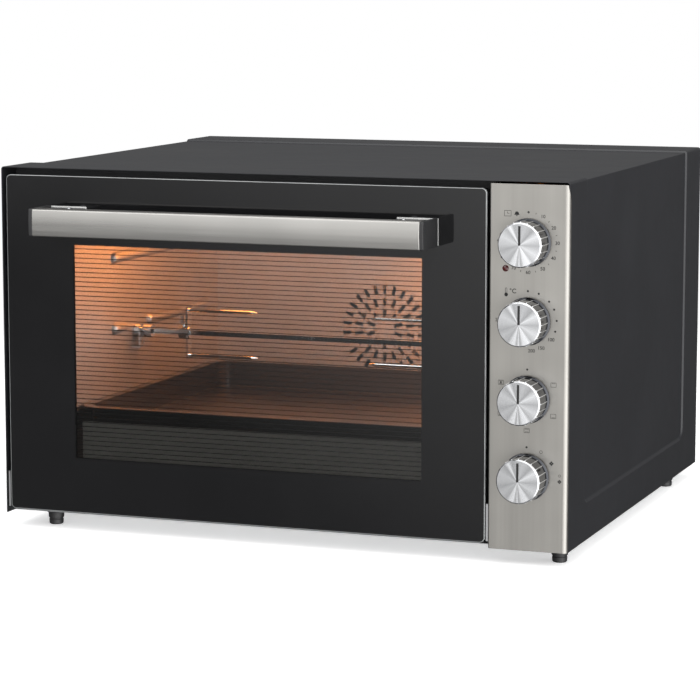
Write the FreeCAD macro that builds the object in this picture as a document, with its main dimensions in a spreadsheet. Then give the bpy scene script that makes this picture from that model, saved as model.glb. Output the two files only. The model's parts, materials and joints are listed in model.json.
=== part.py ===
"""Countertop electric oven with convection fan and rotisserie, as a parametric assembly.

Millimetres, +Z up, front towards -Y. The origin lies on the table, under the middle of the
overall box. Depths in this file are counted back from the front face of the body, and each
sub-part's Placement moves that face to its place in the overall box.
"""
import FreeCAD, Part
import math
import os
import re

import Sketcher

os.makedirs("parts", exist_ok=True)
doc = FreeCAD.newDocument("countertop_oven")

SIZES = [
    # housing
    ("body_width", 595.0, "outside width of the sheet housing"),
    ("body_depth", 530.0, "front face of the door to the back edge of the housing"),
    ("body_height", 355.0, "housing without its feet"),
    ("foot_height", 15.0, "clearance under the housing"),
    ("skin", 0.8, "thickness of housing and cavity sheet"),
    ("belt_sink", 2.3, "depth of the pressed belt round the housing"),
    ("belt_front", 60.0, "plain band in front of the belt"),
    ("belt_back", 62.0, "plain band behind the belt"),
    ("belt_foot", 37.0, "plain strip under the belt on each side"),
    ("belt_corner", 14.0, "corner radius of the belt"),
    ("lip", 0.3, "clearance between neighbouring sheets"),
    ("foot_radius", 8.0, "foot where it meets its flange"),
    ("foot_tip_radius", 7.2, "foot where it meets the table"),
    ("foot_flange", 10.0, "radius of the foot's flange"),
    ("foot_inset_left", 40.0, "left edge to the left feet"),
    ("foot_inset_right", 16.0, "right edge to the right feet"),
    ("foot_inset_front", 33.0, "front face to the front feet"),
    ("foot_inset_back", 75.0, "back edge to the back feet"),
    ("screw_radius", 3.5, "head of a housing screw"),
    # control column
    ("panel_width", 78.5, "steel control panel"),
    ("panel_drop", 3.0, "gap over the control panel"),
    ("panel_sheet", 1.0, "thickness of the panel sheet"),
    ("panel_return", 5.5, "right edge folded back"),
    ("panel_bend", 4.5, "outer radius of the bend at the right edge"),
    ("panel_flange", 28.0, "left edge folded back"),
    ("knob_inset", 40.5, "right edge to the knob axes"),
    ("knob_first", 297.0, "body underside to the top knob"),
    ("knob_pitch", 74.9, "from knob to knob"),
    ("knob_radius", 23.0, "knob where it meets the panel"),
    ("knob_face_radius", 21.2, "knob at its face"),
    ("knob_reach", 30.0, "knob face in front of the panel"),
    ("knob_gap", 1.0, "knob skirt off the panel"),
    ("knob_bevel", 1.6, "bevel of the knob face"),
    ("knob_slot", 2.3, "width of the pointer slot"),
    ("shaft_radius", 3.0, "control shafts, fan shaft and hinge pins"),
    ("running_fit", 0.06, "radial clearance of a turning shaft"),
    ("bush_radius", 5.0, "threaded neck of a control"),
    ("lamp_radius", 3.2, "indicator lens"),
    ("lamp_side", 22.2, "knob axes to the indicator"),
    ("lamp_up", 271.7, "indicator over the body underside"),
    # door
    ("door_gap", 3.5, "between door and control panel"),
    ("door_side_gap", 5.5, "left edge of the housing to the door"),
    ("door_foot_gap", 5.0, "body underside to the door"),
    ("door_head_gap", 8.0, "door to the top of the housing"),
    ("glass_thick", 4.0, "outer and inner door glass"),
    ("glass_corner", 5.0, "corner radius of the outer glass"),
    ("door_frame_back", 26.0, "front face to the back of the door frame"),
    ("door_sheet", 1.0, "thickness of the door frame sheet"),
    ("frame_inset", 2.0, "door frame inside the edge of the glass"),
    ("window_side", 52.0, "door edge to the window in the door frame"),
    ("window_low", 41.0, "door underside to that window"),
    ("window_high", 49.0, "window to the top of the door"),
    ("inner_lap", 12.0, "inner glass over the window edge"),
    ("hinge_back", 8.0, "front face to the hinge axis"),
    ("hinge_raise", 13.0, "body underside to the hinge axis"),
    ("ear_sheet", 2.0, "hinge ear and door lever plate"),
    ("lever_reach", 52.0, "hinge axis to the tail of the door lever"),
    ("lever_height", 12.0, "height of the door lever"),
    ("spring_radius", 4.0, "door spring, middle of the wire"),
    ("spring_wire", 0.6, "radius of the door spring wire"),
    ("spring_length", 62.0, "door spring with the door shut"),
    ("handle_reach", 47.0, "face of the handle in front of the glass"),
    ("handle_tall", 27.5, "height of the handle bar"),
    ("handle_deep", 15.0, "depth of the handle bar"),
    ("handle_wall", 1.2, "wall of the handle bar"),
    ("handle_raise", 290.0, "body underside to the handle bar"),
    ("handle_side", 51.5, "door edge to the end of the handle bar"),
    ("handle_cap", 4.0, "end cap over the bar end"),
    ("handle_post", 38.0, "post from bar to glass"),
    ("handle_screw", 2.5, "radius of a handle screw"),
    # cavity
    ("seal_depth", 4.0, "door frame to the front frame, filled by the seal"),
    ("frame_sheet", 1.2, "thickness of the front frame"),
    ("seal_width", 8.0, "width of the door seal"),
    ("cavity_inset", 60.0, "left edge of the housing to the cavity"),
    ("cavity_width", 407.0, "inside width"),
    ("cavity_height", 294.0, "inside height"),
    ("cavity_depth", 385.0, "inside depth"),
    ("cavity_raise", 28.0, "body underside to the cavity floor"),
    ("rib_radius", 6.0, "pressed shelf rib"),
    ("rib_start", 98.0, "cavity front to the shelf ribs"),
    ("rib_end", 32.0, "shelf ribs to the cavity back"),
    ("rib_first", 73.0, "cavity floor to the lowest rib"),
    ("rib_pitch", 75.0, "from rib to rib"),
    ("rib_break", 28.0, "gap in the middle rib each side of the spit"),
    ("insulation_thick", 12.0, "mineral wool over the ceiling"),
    # heating
    ("element_radius", 3.25, "heating tube"),
    ("element_margin", 36.0, "heating tube bend to the side wall"),
    ("element_first", 78.0, "cavity front to the first run"),
    ("element_pitch", 80.0, "from run to run"),
    ("element_drop", 16.0, "cavity ceiling or floor to the tube axis"),
    ("element_tail", 18.0, "tube end outside the cavity"),
    # fan
    ("fan_radius", 56.0, "fan wheel"),
    ("fan_drop", 25.0, "cavity middle down to the fan axis"),
    ("fan_opening", 54.0, "opening in the cavity back"),
    ("fan_grille_radius", 60.0, "perforated cover"),
    ("fan_housing_radius", 74.0, "fan housing"),
    ("fan_housing_deep", 33.0, "depth of the fan housing"),
    ("fan_blade_width", 14.0, "blade width along the shaft"),
    ("fan_motor_radius", 30.0, "fan motor"),
    ("fan_motor_long", 34.0, "length of the fan motor"),
    # oven lamp
    ("bulb_radius", 9.0, "oven lamp bulb"),
    ("lamp_lens_radius", 18.0, "glass cover of the oven lamp"),
    ("lamp_hole", 15.0, "opening behind the cover"),
    ("lamp_cup_long", 36.0, "depth of the lamp holder"),
    ("lamp_back", 308.0, "cavity front to the oven lamp"),
    # rotisserie
    ("spit_set", 159.0, "cavity front to the spit"),
    ("spit_raise", 140.0, "cavity floor to the spit"),
    ("spit_square", 5.0, "width of the square spit"),
    ("spit_neck", 4.0, "radius of the spit where its support holds it"),
    ("spit_collar", 7.0, "radius of the collars beside the neck"),
    ("spit_hole", 9.5, "radius of the drive opening in the wall"),
    ("fork_set", 58.0, "cavity wall to the fork hub"),
    ("fork_spread", 24.0, "spit axis to a prong"),
    ("fork_prong", 2.0, "radius of a prong"),
    ("fork_long", 72.0, "length of a prong"),
    ("fork_hub", 6.5, "radius of the fork hub"),
    ("fork_screw", 2.0, "radius of the fork thumbscrew"),
    ("spit_motor_size", 56.0, "spit motor, square side"),
    ("spit_motor_long", 38.0, "length of the spit motor"),
    # tray
    ("tray_side_gap", 2.0, "cavity wall to the rim of the tray"),
    ("tray_front_gap", 4.0, "cavity front to the rim of the tray"),
    ("tray_back_gap", 12.0, "rim of the tray to the cavity back"),
    ("tray_rim", 9.0, "width of the rim"),
    ("tray_deep", 28.0, "depth of the tray"),
    ("tray_sheet", 1.0, "thickness of the tray sheet"),
    ("tray_corner", 26.0, "corner radius of the tray"),
    # mains inlet
    ("gland_reach", 12.0, "lead gland behind the housing"),
    ("gland_radius", 8.0, "neck of the gland"),
    ("gland_bore", 4.2, "opening for the mains lead"),
    ("gland_side", 55.0, "right edge of the housing to the gland"),
    ("gland_up", 42.0, "body underside to the gland"),
]

PLACES = [
    ("front_y", "handle_reach - (handle_reach + body_depth + gland_reach) / 2"),
    ("half_width", "body_width / 2"),
    ("top_z", "foot_height + body_height"),
    ("door_left", "door_side_gap - half_width"),
    ("panel_left", "half_width - panel_width"),
    ("door_right", "panel_left - door_gap"),
    ("door_low", "foot_height + door_foot_gap"),
    ("door_top", "top_z - door_head_gap"),
    ("panel_top", "top_z - panel_drop"),
    ("cavity_left", "cavity_inset - half_width"),
    ("cavity_right", "cavity_left + cavity_width"),
    ("cavity_mid", "(cavity_left + cavity_right) / 2"),
    ("cavity_low", "foot_height + cavity_raise"),
    ("cavity_top", "cavity_low + cavity_height"),
    ("frame_front", "door_frame_back + seal_depth"),
    ("cavity_front", "frame_front + frame_sheet"),
    ("cavity_back", "cavity_front + cavity_depth"),
    ("hinge_z", "foot_height + hinge_raise"),
    ("ear_left", "door_left - 1.5"),
    ("ear_right", "door_right + 1"),
    ("lever_left", "(cavity_left - half_width) / 2"),
    ("lever_right", "(cavity_right + panel_left) / 2"),
    ("window_left", "door_left + window_side"),
    ("window_right", "door_right - window_side"),
    ("window_bottom", "door_low + window_low"),
    ("window_top", "door_top - window_high"),
    ("handle_z", "foot_height + handle_raise"),
    ("bar_left", "door_left + handle_side"),
    ("bar_right", "door_right - handle_side"),
    ("knob_x", "half_width - knob_inset"),
    ("lamp_x", "knob_x - lamp_side"),
    ("spit_y", "cavity_front + spit_set"),
    ("spit_z", "cavity_low + spit_raise"),
    ("fan_z", "(cavity_low + cavity_top) / 2 - fan_drop"),
    ("rib_one_z", "cavity_low + rib_first"),
    ("tray_left", "cavity_left + tray_side_gap"),
    ("tray_right", "cavity_right - tray_side_gap"),
    ("tray_front", "cavity_front + tray_front_gap"),
    ("tray_end", "cavity_back - tray_back_gap"),
    ("rim_z", "rib_one_z + sqrt(rib_radius ^ 2 - tray_side_gap ^ 2) + lip"),
    ("lamp_y", "cavity_front + lamp_back"),
    ("rib_top_z", "rib_one_z + 2 * rib_pitch + rib_radius"),
    ("lamp_z", "(rib_top_z + cavity_top - element_drop - element_radius) / 2"),
    ("gland_x", "half_width - gland_side"),
    ("gland_z", "foot_height + gland_up"),
    ("foot_left_x", "foot_inset_left - half_width"),
    ("foot_right_x", "half_width - foot_inset_right"),
    ("foot_back_y", "body_depth - foot_inset_back"),
]

SIZE_NAMES = {row[0] for row in SIZES}
PLACE_NAMES = {row[0] for row in PLACES}


def linked(expression):
    """Writes each size or place named in an expression with the sheet that holds it."""
    def owner(match):
        word = match.group(0)
        if word in SIZE_NAMES:
            return "sizes." + word
        if word in PLACE_NAMES:
            return "places." + word
        return word
    return re.sub(r"[a-z_]+", owner, str(expression))


sizes = doc.addObject("Spreadsheet::Sheet", "sizes")
for row, (name, number, meaning) in enumerate(SIZES, start=1):
    sizes.set(f"A{row}", str(number))
    sizes.setAlias(f"A{row}", name)
    sizes.set(f"B{row}", meaning)
doc.recompute()

places = doc.addObject("Spreadsheet::Sheet", "places")
for row, (name, rule) in enumerate(PLACES, start=1):
    places.setAlias(f"A{row}", name)
for row, (name, rule) in enumerate(PLACES, start=1):
    text = linked(rule).replace("places.", "")
    places.set(f"A{row}", "=" + text)
doc.recompute()


def value(name):
    """The present number of a size or a place."""
    return float((sizes if name in SIZE_NAMES else places).get(name))


def bind(thing, prop, expression):
    thing.setExpression(prop, linked(expression))


# ---------------------------------------------------------------- building blocks
AXIS_TURN = {
    "x": FreeCAD.Rotation(FreeCAD.Vector(0, 1, 0), 90),
    "y": FreeCAD.Rotation(FreeCAD.Vector(1, 0, 0), -90),
    "z": FreeCAD.Rotation(),
}
nodes = []


def place(thing, x, y, z):
    """Binds where a piece stands, counted back from the front face of the body."""
    bind(thing, "Placement.Base.x", x)
    bind(thing, "Placement.Base.y", y)
    bind(thing, "Placement.Base.z", z)
    thing.addProperty("App::PropertyString", "Depth")
    thing.Depth = str(y)


def node(label, thing):
    """Gives a finished sub-part its label and its depth in the overall box."""
    thing.Label = label
    depth = f"front_y + ({thing.Depth})" if hasattr(thing, "Depth") else "front_y"
    bind(thing, "Placement.Base.y", depth)
    nodes.append(thing)
    return thing


def box(low, high):
    block = doc.addObject("Part::Box", "block")
    for prop, start, end in zip(("Length", "Width", "Height"), low, high):
        bind(block, prop, f"({end}) - ({start})")
    place(block, *low)
    return block


def rod(axis, start, radius, length):
    """A cylinder that runs from start along +X, +Y or +Z."""
    cylinder = doc.addObject("Part::Cylinder", "rod")
    bind(cylinder, "Radius", radius)
    bind(cylinder, "Height", length)
    cylinder.Placement.Rotation = AXIS_TURN[axis]
    place(cylinder, *start)
    return cylinder


def cone(axis, start, radius, end_radius, length):
    taper = doc.addObject("Part::Cone", "taper")
    bind(taper, "Radius1", radius)
    bind(taper, "Radius2", end_radius)
    bind(taper, "Height", length)
    taper.Placement.Rotation = AXIS_TURN[axis]
    place(taper, *start)
    return taper


def ball(centre, radius):
    sphere = doc.addObject("Part::Sphere", "ball")
    bind(sphere, "Radius", radius)
    place(sphere, *centre)
    return sphere


def fuse(*pieces):
    union = doc.addObject("Part::MultiFuse", "union")
    union.Shapes = list(pieces)
    return union


def cut(base, *tools):
    result = doc.addObject("Part::Cut", "difference")
    result.Base = base
    result.Tool = tools[0] if len(tools) == 1 else fuse(*tools)
    return result


def group(*pieces):
    """Separate solids that share one node."""
    together = doc.addObject("Part::Compound", "group")
    together.Links = list(pieces)
    return together


def origin_plane(body, role):
    return [part for part in body.Origin.OriginFeatures if part.Role == role][0]


def new_body(label):
    body = doc.addObject("PartDesign::Body", label)
    body.Label = label
    return body


def outline(body, role, points, offset="0"):
    """A closed sketch of straight lines whose corners are bound to expressions."""
    sketch = body.newObject("Sketcher::SketchObject", "outline")
    sketch.AttachmentSupport = [(origin_plane(body, role), "")]
    sketch.MapMode = "FlatFace"
    bind(sketch, "AttachmentOffset.Base.z", offset)
    corners = [(number(x), number(y)) for x, y in points]
    for index, corner in enumerate(corners):
        following = corners[(index + 1) % len(corners)]
        line = Part.LineSegment(FreeCAD.Vector(*corner, 0), FreeCAD.Vector(*following, 0))
        sketch.addGeometry(line, False)
    count = len(corners)
    for index in range(count):
        joined = Sketcher.Constraint("Coincident", index, 2, (index + 1) % count, 1)
        sketch.addConstraint(joined)
    for index, (x, y) in enumerate(points):
        for kind, expression, start in (("DistanceX", x, 0), ("DistanceY", y, 1)):
            mark = Sketcher.Constraint(kind, -1, 1, index, 1, corners[index][start])
            slot = sketch.addConstraint(mark)
            bind(sketch, f"Constraints[{slot}]", expression)
    return sketch


def rounds(body, role, circles, offset="0"):
    """A sketch of circles, each (x, y, radius)."""
    sketch = body.newObject("Sketcher::SketchObject", "circles")
    sketch.AttachmentSupport = [(origin_plane(body, role), "")]
    sketch.MapMode = "FlatFace"
    bind(sketch, "AttachmentOffset.Base.z", offset)
    for index, (x, y, radius) in enumerate(circles):
        centre = FreeCAD.Vector(number(x), number(y), 0)
        sketch.addGeometry(Part.Circle(centre, FreeCAD.Vector(0, 0, 1), number(radius)), False)
        marks = (("DistanceX", x, centre.x), ("DistanceY", y, centre.y))
        for kind, expression, start in marks:
            slot = sketch.addConstraint(Sketcher.Constraint(kind, -1, 1, index, 3, start))
            bind(sketch, f"Constraints[{slot}]", expression)
        slot = sketch.addConstraint(Sketcher.Constraint("Radius", index, number(radius)))
        bind(sketch, f"Constraints[{slot}]", radius)
    return sketch


def number(expression):
    """Evaluates an expression of sizes and places with their present values."""
    return float(sizes.evalExpression(linked(expression))) if isinstance(expression, str) \
        else float(expression)


def pad(body, sketch, length, back=False):
    raised = body.newObject("PartDesign::Pad", "pad")
    raised.Profile = sketch
    raised.Reversed = back
    bind(raised, "Length", length)
    return raised


def pocket(body, sketch, length, back=False):
    """Cuts a sketch into the solid and makes sure that something was cut."""
    doc.recompute()
    before = body.Shape.Volume
    hole = body.newObject("PartDesign::Pocket", "pocket")
    hole.Profile = sketch
    hole.Reversed = back
    bind(hole, "Length", length)
    doc.recompute()
    if body.Shape.Volume >= before:
        raise RuntimeError(f"{body.Label}: {hole.Name} cuts nothing")
    return hole


def revolve(body, sketch):
    turned = body.newObject("PartDesign::Revolution", "turned")
    turned.Profile = sketch
    turned.ReferenceAxis = (sketch, ["V_Axis"])
    turned.Angle = 360
    return turned


def repeat_round(body, feature, count):
    """Repeats a feature round the body's own Z axis."""
    pattern = body.newObject("PartDesign::PolarPattern", "ring")
    pattern.Originals = [feature]
    pattern.Axis = (origin_plane(body, "Z_Axis"), [""])
    pattern.Angle = 360
    pattern.Occurrences = count
    body.Tip = pattern
    return pattern


def soften(body, radius, chosen):
    """Fillets the edges of the last feature that the test picks."""
    doc.recompute()
    tip = body.Tip
    names = [f"Edge{index}" for index, edge in enumerate(tip.Shape.Edges, start=1)
             if chosen(edge)]
    rounded = body.newObject("PartDesign::Fillet", "rounded")
    rounded.Base = (tip, names)
    bind(rounded, "Radius", radius)
    return rounded


def runs_along(edge, direction):
    """True for a straight edge parallel to a direction."""
    if edge.Curve.TypeId != "Part::GeomLine":
        return False
    return abs(edge.tangentAt(edge.FirstParameter).dot(FreeCAD.Vector(*direction))) > 0.999


def turn_to_front(body):
    """A body drawn along its own Z axis ends up pointing out of the front."""
    body.Placement.Rotation = FreeCAD.Rotation(FreeCAD.Vector(1, 0, 0), 90)


def shaped(label, shape):
    """A sub-part whose shape is swept along a path; it reads its sizes with value()."""
    feature = doc.addObject("Part::Feature", label)
    feature.Shape = shape
    return node(label, feature)


def tube_along(points, bend, radius):
    """A round tube along straight runs joined by tangent arcs of one bend radius."""
    edges = []
    start = points[0]
    for before, corner, after in zip(points, points[1:], points[2:]):
        back = (before - corner).normalize()
        ahead = (after - corner).normalize()
        half = back.getAngle(ahead) / 2
        reach = bend / math.tan(half)
        middle = corner + (back + ahead).normalize() * (bend / math.sin(half) - bend)
        entry = corner + back * reach
        leave = corner + ahead * reach
        edges.append(Part.LineSegment(start, entry).toShape())
        edges.append(Part.Arc(entry, middle, leave).toShape())
        start = leave
    edges.append(Part.LineSegment(start, points[-1]).toShape())
    path = Part.Wire(edges)
    along = (points[1] - points[0]).normalize()
    ring = Part.Wire([Part.Circle(points[0], along, radius).toShape()])
    tube = path.makePipeShell([ring], True, False)
    expected = math.pi * radius ** 2 * path.Length
    if abs(tube.Volume - expected) > 0.02 * expected:
        raise RuntimeError("a tube's volume does not match its length")
    return tube


# ---------------------------------------------------------------- housing
def outer_wrap():
    """Top and both sides in one bent sheet, with a shallow belt pressed round it."""
    def belt(extra):
        body = new_body("belt_tool")
        low = f"foot_height + belt_foot - {extra}"
        corners = [
            (f"belt_front - {extra}", low),
            (f"body_depth - belt_back + {extra}", low),
            (f"body_depth - belt_back + {extra}", "top_z + 20"),
            (f"belt_front - {extra}", "top_z + 20"),
        ]
        sketch = outline(body, "YZ_Plane", corners, "-half_width - 20")
        pad(body, sketch, "body_width + 40")
        level = number(low)
        soften(body, f"belt_corner + {extra}",
               lambda edge: runs_along(edge, (1, 0, 0)) and abs(edge.CenterOfMass.z - level) < 1)
        inside = f"belt_sink + {extra}"
        core = box((f"-half_width + {inside}", "-20", "0"),
                   (f"half_width - ({inside})", "body_depth + 20", f"top_z - ({inside})"))
        return cut(body, core)
    outside = cut(box(("-half_width", "0", "foot_height"), ("half_width", "body_depth", "top_z")),
                  belt("0"))
    inside = cut(box(("skin - half_width", "-10", "0"),
                     ("half_width - skin", "body_depth + 10", "top_z - skin")), belt("skin"))
    notch = box(("half_width - 10", "-5", "foot_height - 5"),
                ("half_width + 5", "panel_return + lip", "panel_top + lip"))
    return node("outer_wrap", cut(outside, inside, notch))


def back_panel():
    """Flat sheet between the sides, with two fields of cooling slots and the lead opening."""
    side = "half_width - skin - lip"
    plate = box((f"-({side})", "body_depth - 2 * skin", "foot_height"),
                (side, "body_depth - skin", "top_z - skin - lip"))
    tools = []
    for column in range(2):
        for row in range(9):
            start = f"cavity_mid - 130 + {column * 150}"
            level = f"fan_z - 60 + {row * 14}"
            tools.append(box((start, "body_depth - 5", level),
                             (f"{start} + 110", "body_depth + 5", f"{level} + 5")))
    tools.append(rod("y", ("gland_x", "body_depth - 5", "gland_z"), "gland_radius + lip", "10"))
    return node("back_panel", cut(plate, *tools))


def bottom_plate():
    """Floor of the housing, with cooling slots under the control column."""
    side = "half_width - skin - lip"
    plate = box((f"-({side})", "18", "foot_height"),
                (side, "body_depth - 2 * skin", "foot_height + skin"))
    tools = []
    for row in range(8):
        start = f"120 + {row * 18}"
        tools.append(box(("cavity_right + 20", start, "foot_height - 5"),
                         ("half_width - 30", f"{start} + 6", "foot_height + 5")))
    tools.append(box(("panel_left - lip", "0", "0"), ("half_width", "panel_flange + lip", "30")))
    return node("bottom_plate", cut(plate, *tools))


def front_frame():
    """Chassis face round the cavity mouth, slotted for the door levers."""
    plate = box(("skin + lip - half_width", "frame_front", "foot_height + skin"),
                ("panel_left", "cavity_front", "top_z - skin - lip"))
    mouth = box(("cavity_left", "frame_front - 5", "cavity_low"),
                ("cavity_right", "cavity_front + 5", "cavity_top"))
    slots = []
    for middle in ("lever_left", "lever_right"):
        low = (f"{middle} - ear_sheet / 2 - 1.5", "frame_front - 5", "hinge_z - lever_height / 2 - 2")
        high = (f"{middle} + ear_sheet / 2 + 1.5", "cavity_front + 5", "hinge_z + lever_reach + 1")
        slots.append(box(low, high))
    return node("front_frame", cut(plate, mouth, *slots))


def feet():
    """Four turned plastic feet under the corners of the housing."""
    turned = []
    for x in ("foot_left_x", "foot_right_x"):
        for y in ("foot_inset_front", "foot_back_y"):
            body = new_body("foot")
            profile = [("0", "0"), ("foot_tip_radius - 1", "0"), ("foot_tip_radius", "1"),
                       ("foot_radius", "foot_height - 2"), ("foot_flange", "foot_height - 2"),
                       ("foot_flange", "foot_height"), ("0", "foot_height")]
            revolve(body, outline(body, "XZ_Plane", profile))
            place(body, x, y, "0")
            turned.append(body)
    return node("feet", group(*turned))


def housing_screws():
    """Screws that hold the back panel."""
    heads = []
    for side in ("-half_width + 14", "cavity_right + 30", "half_width - 14"):
        for level in ("foot_height + 16", "top_z - 20"):
            heads.append(rod("y", (side, "body_depth - skin", level), "screw_radius", "1.8"))
    return node("housing_screws", group(*heads))


# ---------------------------------------------------------------- control column
def knob_level(index):
    return f"foot_height + knob_first - {index} * knob_pitch"


def control_panel():
    """Steel sheet folded back along both edges and pierced for the controls."""
    body = new_body("control_panel")
    profile = [
        ("panel_left", "panel_flange"), ("panel_left", "0"), ("half_width", "0"),
        ("half_width", "panel_return"), ("half_width - panel_sheet", "panel_return"),
        ("half_width - panel_sheet", "panel_sheet"),
        ("panel_left + panel_sheet", "panel_sheet"), ("panel_left + panel_sheet", "panel_flange"),
    ]
    pad(body, outline(body, "XY_Plane", profile, "foot_height"), "panel_top - foot_height")
    for corner, radius in ((("half_width", "0"), "panel_bend"),
                           (("half_width - panel_sheet", "panel_sheet"), "panel_bend - panel_sheet")):
        spot = FreeCAD.Vector(number(corner[0]), number(corner[1]), 0)
        soften(body, radius, lambda edge: runs_along(edge, (0, 0, 1)) and
               math.hypot(edge.CenterOfMass.x - spot.x, edge.CenterOfMass.y - spot.y) < 0.1)
    holes = [("knob_x", knob_level(index), "bush_radius + 0.4") for index in range(4)]
    holes.append(("lamp_x", "foot_height + lamp_up", "lamp_radius"))
    pocket(body, rounds(body, "XZ_Plane", holes, "1"), "panel_sheet + 2")
    return node("control_panel", body)


def knob(label, index):
    """Turned knob with grip flutes, a bevelled face and a pointer slot."""
    body = new_body(label)
    tall = "knob_reach - knob_gap"
    profile = [
        ("shaft_radius + 0.02", "4"), ("bush_radius + 3", "4"), ("bush_radius + 3", "0"),
        ("knob_radius", "0"), ("knob_radius", "3"), ("knob_radius - 0.8", "3.6"),
        ("knob_face_radius", f"{tall} - knob_bevel"), ("knob_face_radius - knob_bevel", tall),
        ("0", tall), ("0", f"{tall} - 9"), ("shaft_radius + 0.02", f"{tall} - 9"),
    ]
    revolve(body, outline(body, "XZ_Plane", profile))
    doc.recompute()
    reach = "knob_face_radius * 0.85"
    slot = [("-knob_slot / 2", "0"), ("knob_slot / 2", "0"), ("knob_slot / 2", reach),
            ("-knob_slot / 2", reach)]
    pocket(body, outline(body, "XY_Plane", slot, f"{tall} - 0.8"), "3", back=True)
    place(body, "knob_x", "-knob_gap", knob_level(index))
    turn_to_front(body)
    return node(label, body)


def knob_shaft(label, index):
    """Shaft from the control through the panel into the knob."""
    start = "panel_sheet + 11"
    reach = "knob_reach - 9 - 1"
    return node(label, rod("y", ("knob_x", f"-({reach})", knob_level(index)),
                           "shaft_radius", f"{reach} + {start}"))


def control_unit(label, index, wide, tall, deep, tags):
    """Control behind the panel: case, threaded neck, bore for its shaft and terminal tags."""
    level = knob_level(index)
    case = box((f"knob_x - {wide / 2}", "panel_sheet", f"{level} - {tall / 2}"),
               (f"knob_x + {wide / 2}", f"panel_sheet + {deep}", f"{level} + {tall / 2}"))
    neck = rod("y", ("knob_x", "-2", level), "bush_radius", "panel_sheet + 3")
    pieces = [case, neck]
    for number_of_tag in range(tags):
        left = f"knob_x - {wide / 2} + 4 + {number_of_tag * 9}"
        low = (left, f"panel_sheet + {deep - 1}", f"{level} - {tall / 4}")
        high = (f"{left} + 6.3", f"panel_sheet + {deep + 8}", f"{level} - {tall / 4} + 0.8")
        pieces.append(box(low, high))
    bore = rod("y", ("knob_x", "-3", level), "shaft_radius + running_fit", "panel_sheet + 15")
    return node(label, cut(fuse(*pieces), bore))


def indicator_lens():
    """Small domed lens of the pilot lamp, with its neon body behind the panel."""
    spot = ("lamp_x", "0", "foot_height + lamp_up")
    dome = ball(("lamp_x", "1.5", "foot_height + lamp_up"), "lamp_radius")
    keep = rod("y", ("lamp_x", "-3", "foot_height + lamp_up"), "lamp_radius + 1", "3")
    cap = doc.addObject("Part::Common", "cap")
    cap.Base = dome
    cap.Tool = keep
    stem = rod("y", spot, "lamp_radius", "panel_sheet + 1")
    neon = rod("y", ("lamp_x", "panel_sheet", spot[2]), "lamp_radius + 1.2", "22")
    return node("indicator_lamp", fuse(cap, stem, neon))


# ---------------------------------------------------------------- door
def door_glass():
    """Outer pane, drilled for the handle screws."""
    body = new_body("door_glass")
    pane = [("door_left", "door_low"), ("door_right", "door_low"),
            ("door_right", "door_top"), ("door_left", "door_top")]
    pad(body, outline(body, "XZ_Plane", pane), "glass_thick", back=True)
    soften(body, "glass_corner", lambda edge: runs_along(edge, (0, 1, 0)))
    level = "handle_z + handle_tall / 2"
    holes = [(x, level, "handle_screw + 0.3") for x in
             ("bar_left + handle_post / 2", "bar_right - handle_post / 2")]
    pocket(body, rounds(body, "XZ_Plane", holes, "1"), "glass_thick + 2")
    return node("door_glass", body)


def door_frame():
    """Folded pan behind the glass, with the window opening and a block for each hinge pin."""
    left = "door_left + frame_inset"
    right = "door_right - frame_inset"
    low = "door_low + frame_inset"
    high = "door_top - frame_inset"
    front = "glass_thick"
    shell = box((left, front, low), (right, "door_frame_back", high))
    hollow = box((f"{left} + door_sheet", "glass_thick - 2", f"{low} + door_sheet"),
                 (f"{right} - door_sheet", "door_frame_back - door_sheet", f"{high} - door_sheet"))
    window = box(("window_left", "0", "window_bottom"), ("window_right", "40", "window_top"))
    blocks = []
    bores = []
    for x in (left, f"{right} - 16"):
        blocks.append(box((x, front, low), (f"{x} + 16", "door_frame_back", "hinge_z + 9")))
        bores.append(rod("x", (f"{x} - 1", "hinge_back", "hinge_z"), "shaft_radius", "18"))
    pan = fuse(cut(shell, hollow, window), *blocks)
    return node("door_frame", cut(pan, *bores))


def inner_glass():
    back = "door_frame_back - door_sheet"
    low = ("window_left - inner_lap", f"{back} - glass_thick", "window_bottom - inner_lap")
    high = ("window_right + inner_lap", back, "window_top + inner_lap")
    return node("inner_glass", box(low, high))


def glass_clips():
    """Spring clips that hold the inner glass to the door frame."""
    clips = []
    back = "door_frame_back - door_sheet"
    for x in ("window_left - inner_lap", "window_right + inner_lap - 14"):
        for low, foot in (("window_top + inner_lap", 1), ("window_bottom - inner_lap", -1)):
            post_low = low if foot > 0 else f"{low} - 6"
            post = box((x, f"{back} - glass_thick - 1", post_low),
                       (f"{x} + 14", back, f"{post_low} + 6"))
            tab_low = f"{low} - 5" if foot > 0 else low
            tab = box((x, f"{back} - glass_thick - 1", tab_low),
                      (f"{x} + 14", f"{back} - glass_thick", f"{tab_low} + 5"))
            clips.append(fuse(post, tab))
    return node("glass_clips", group(*clips))


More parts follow.
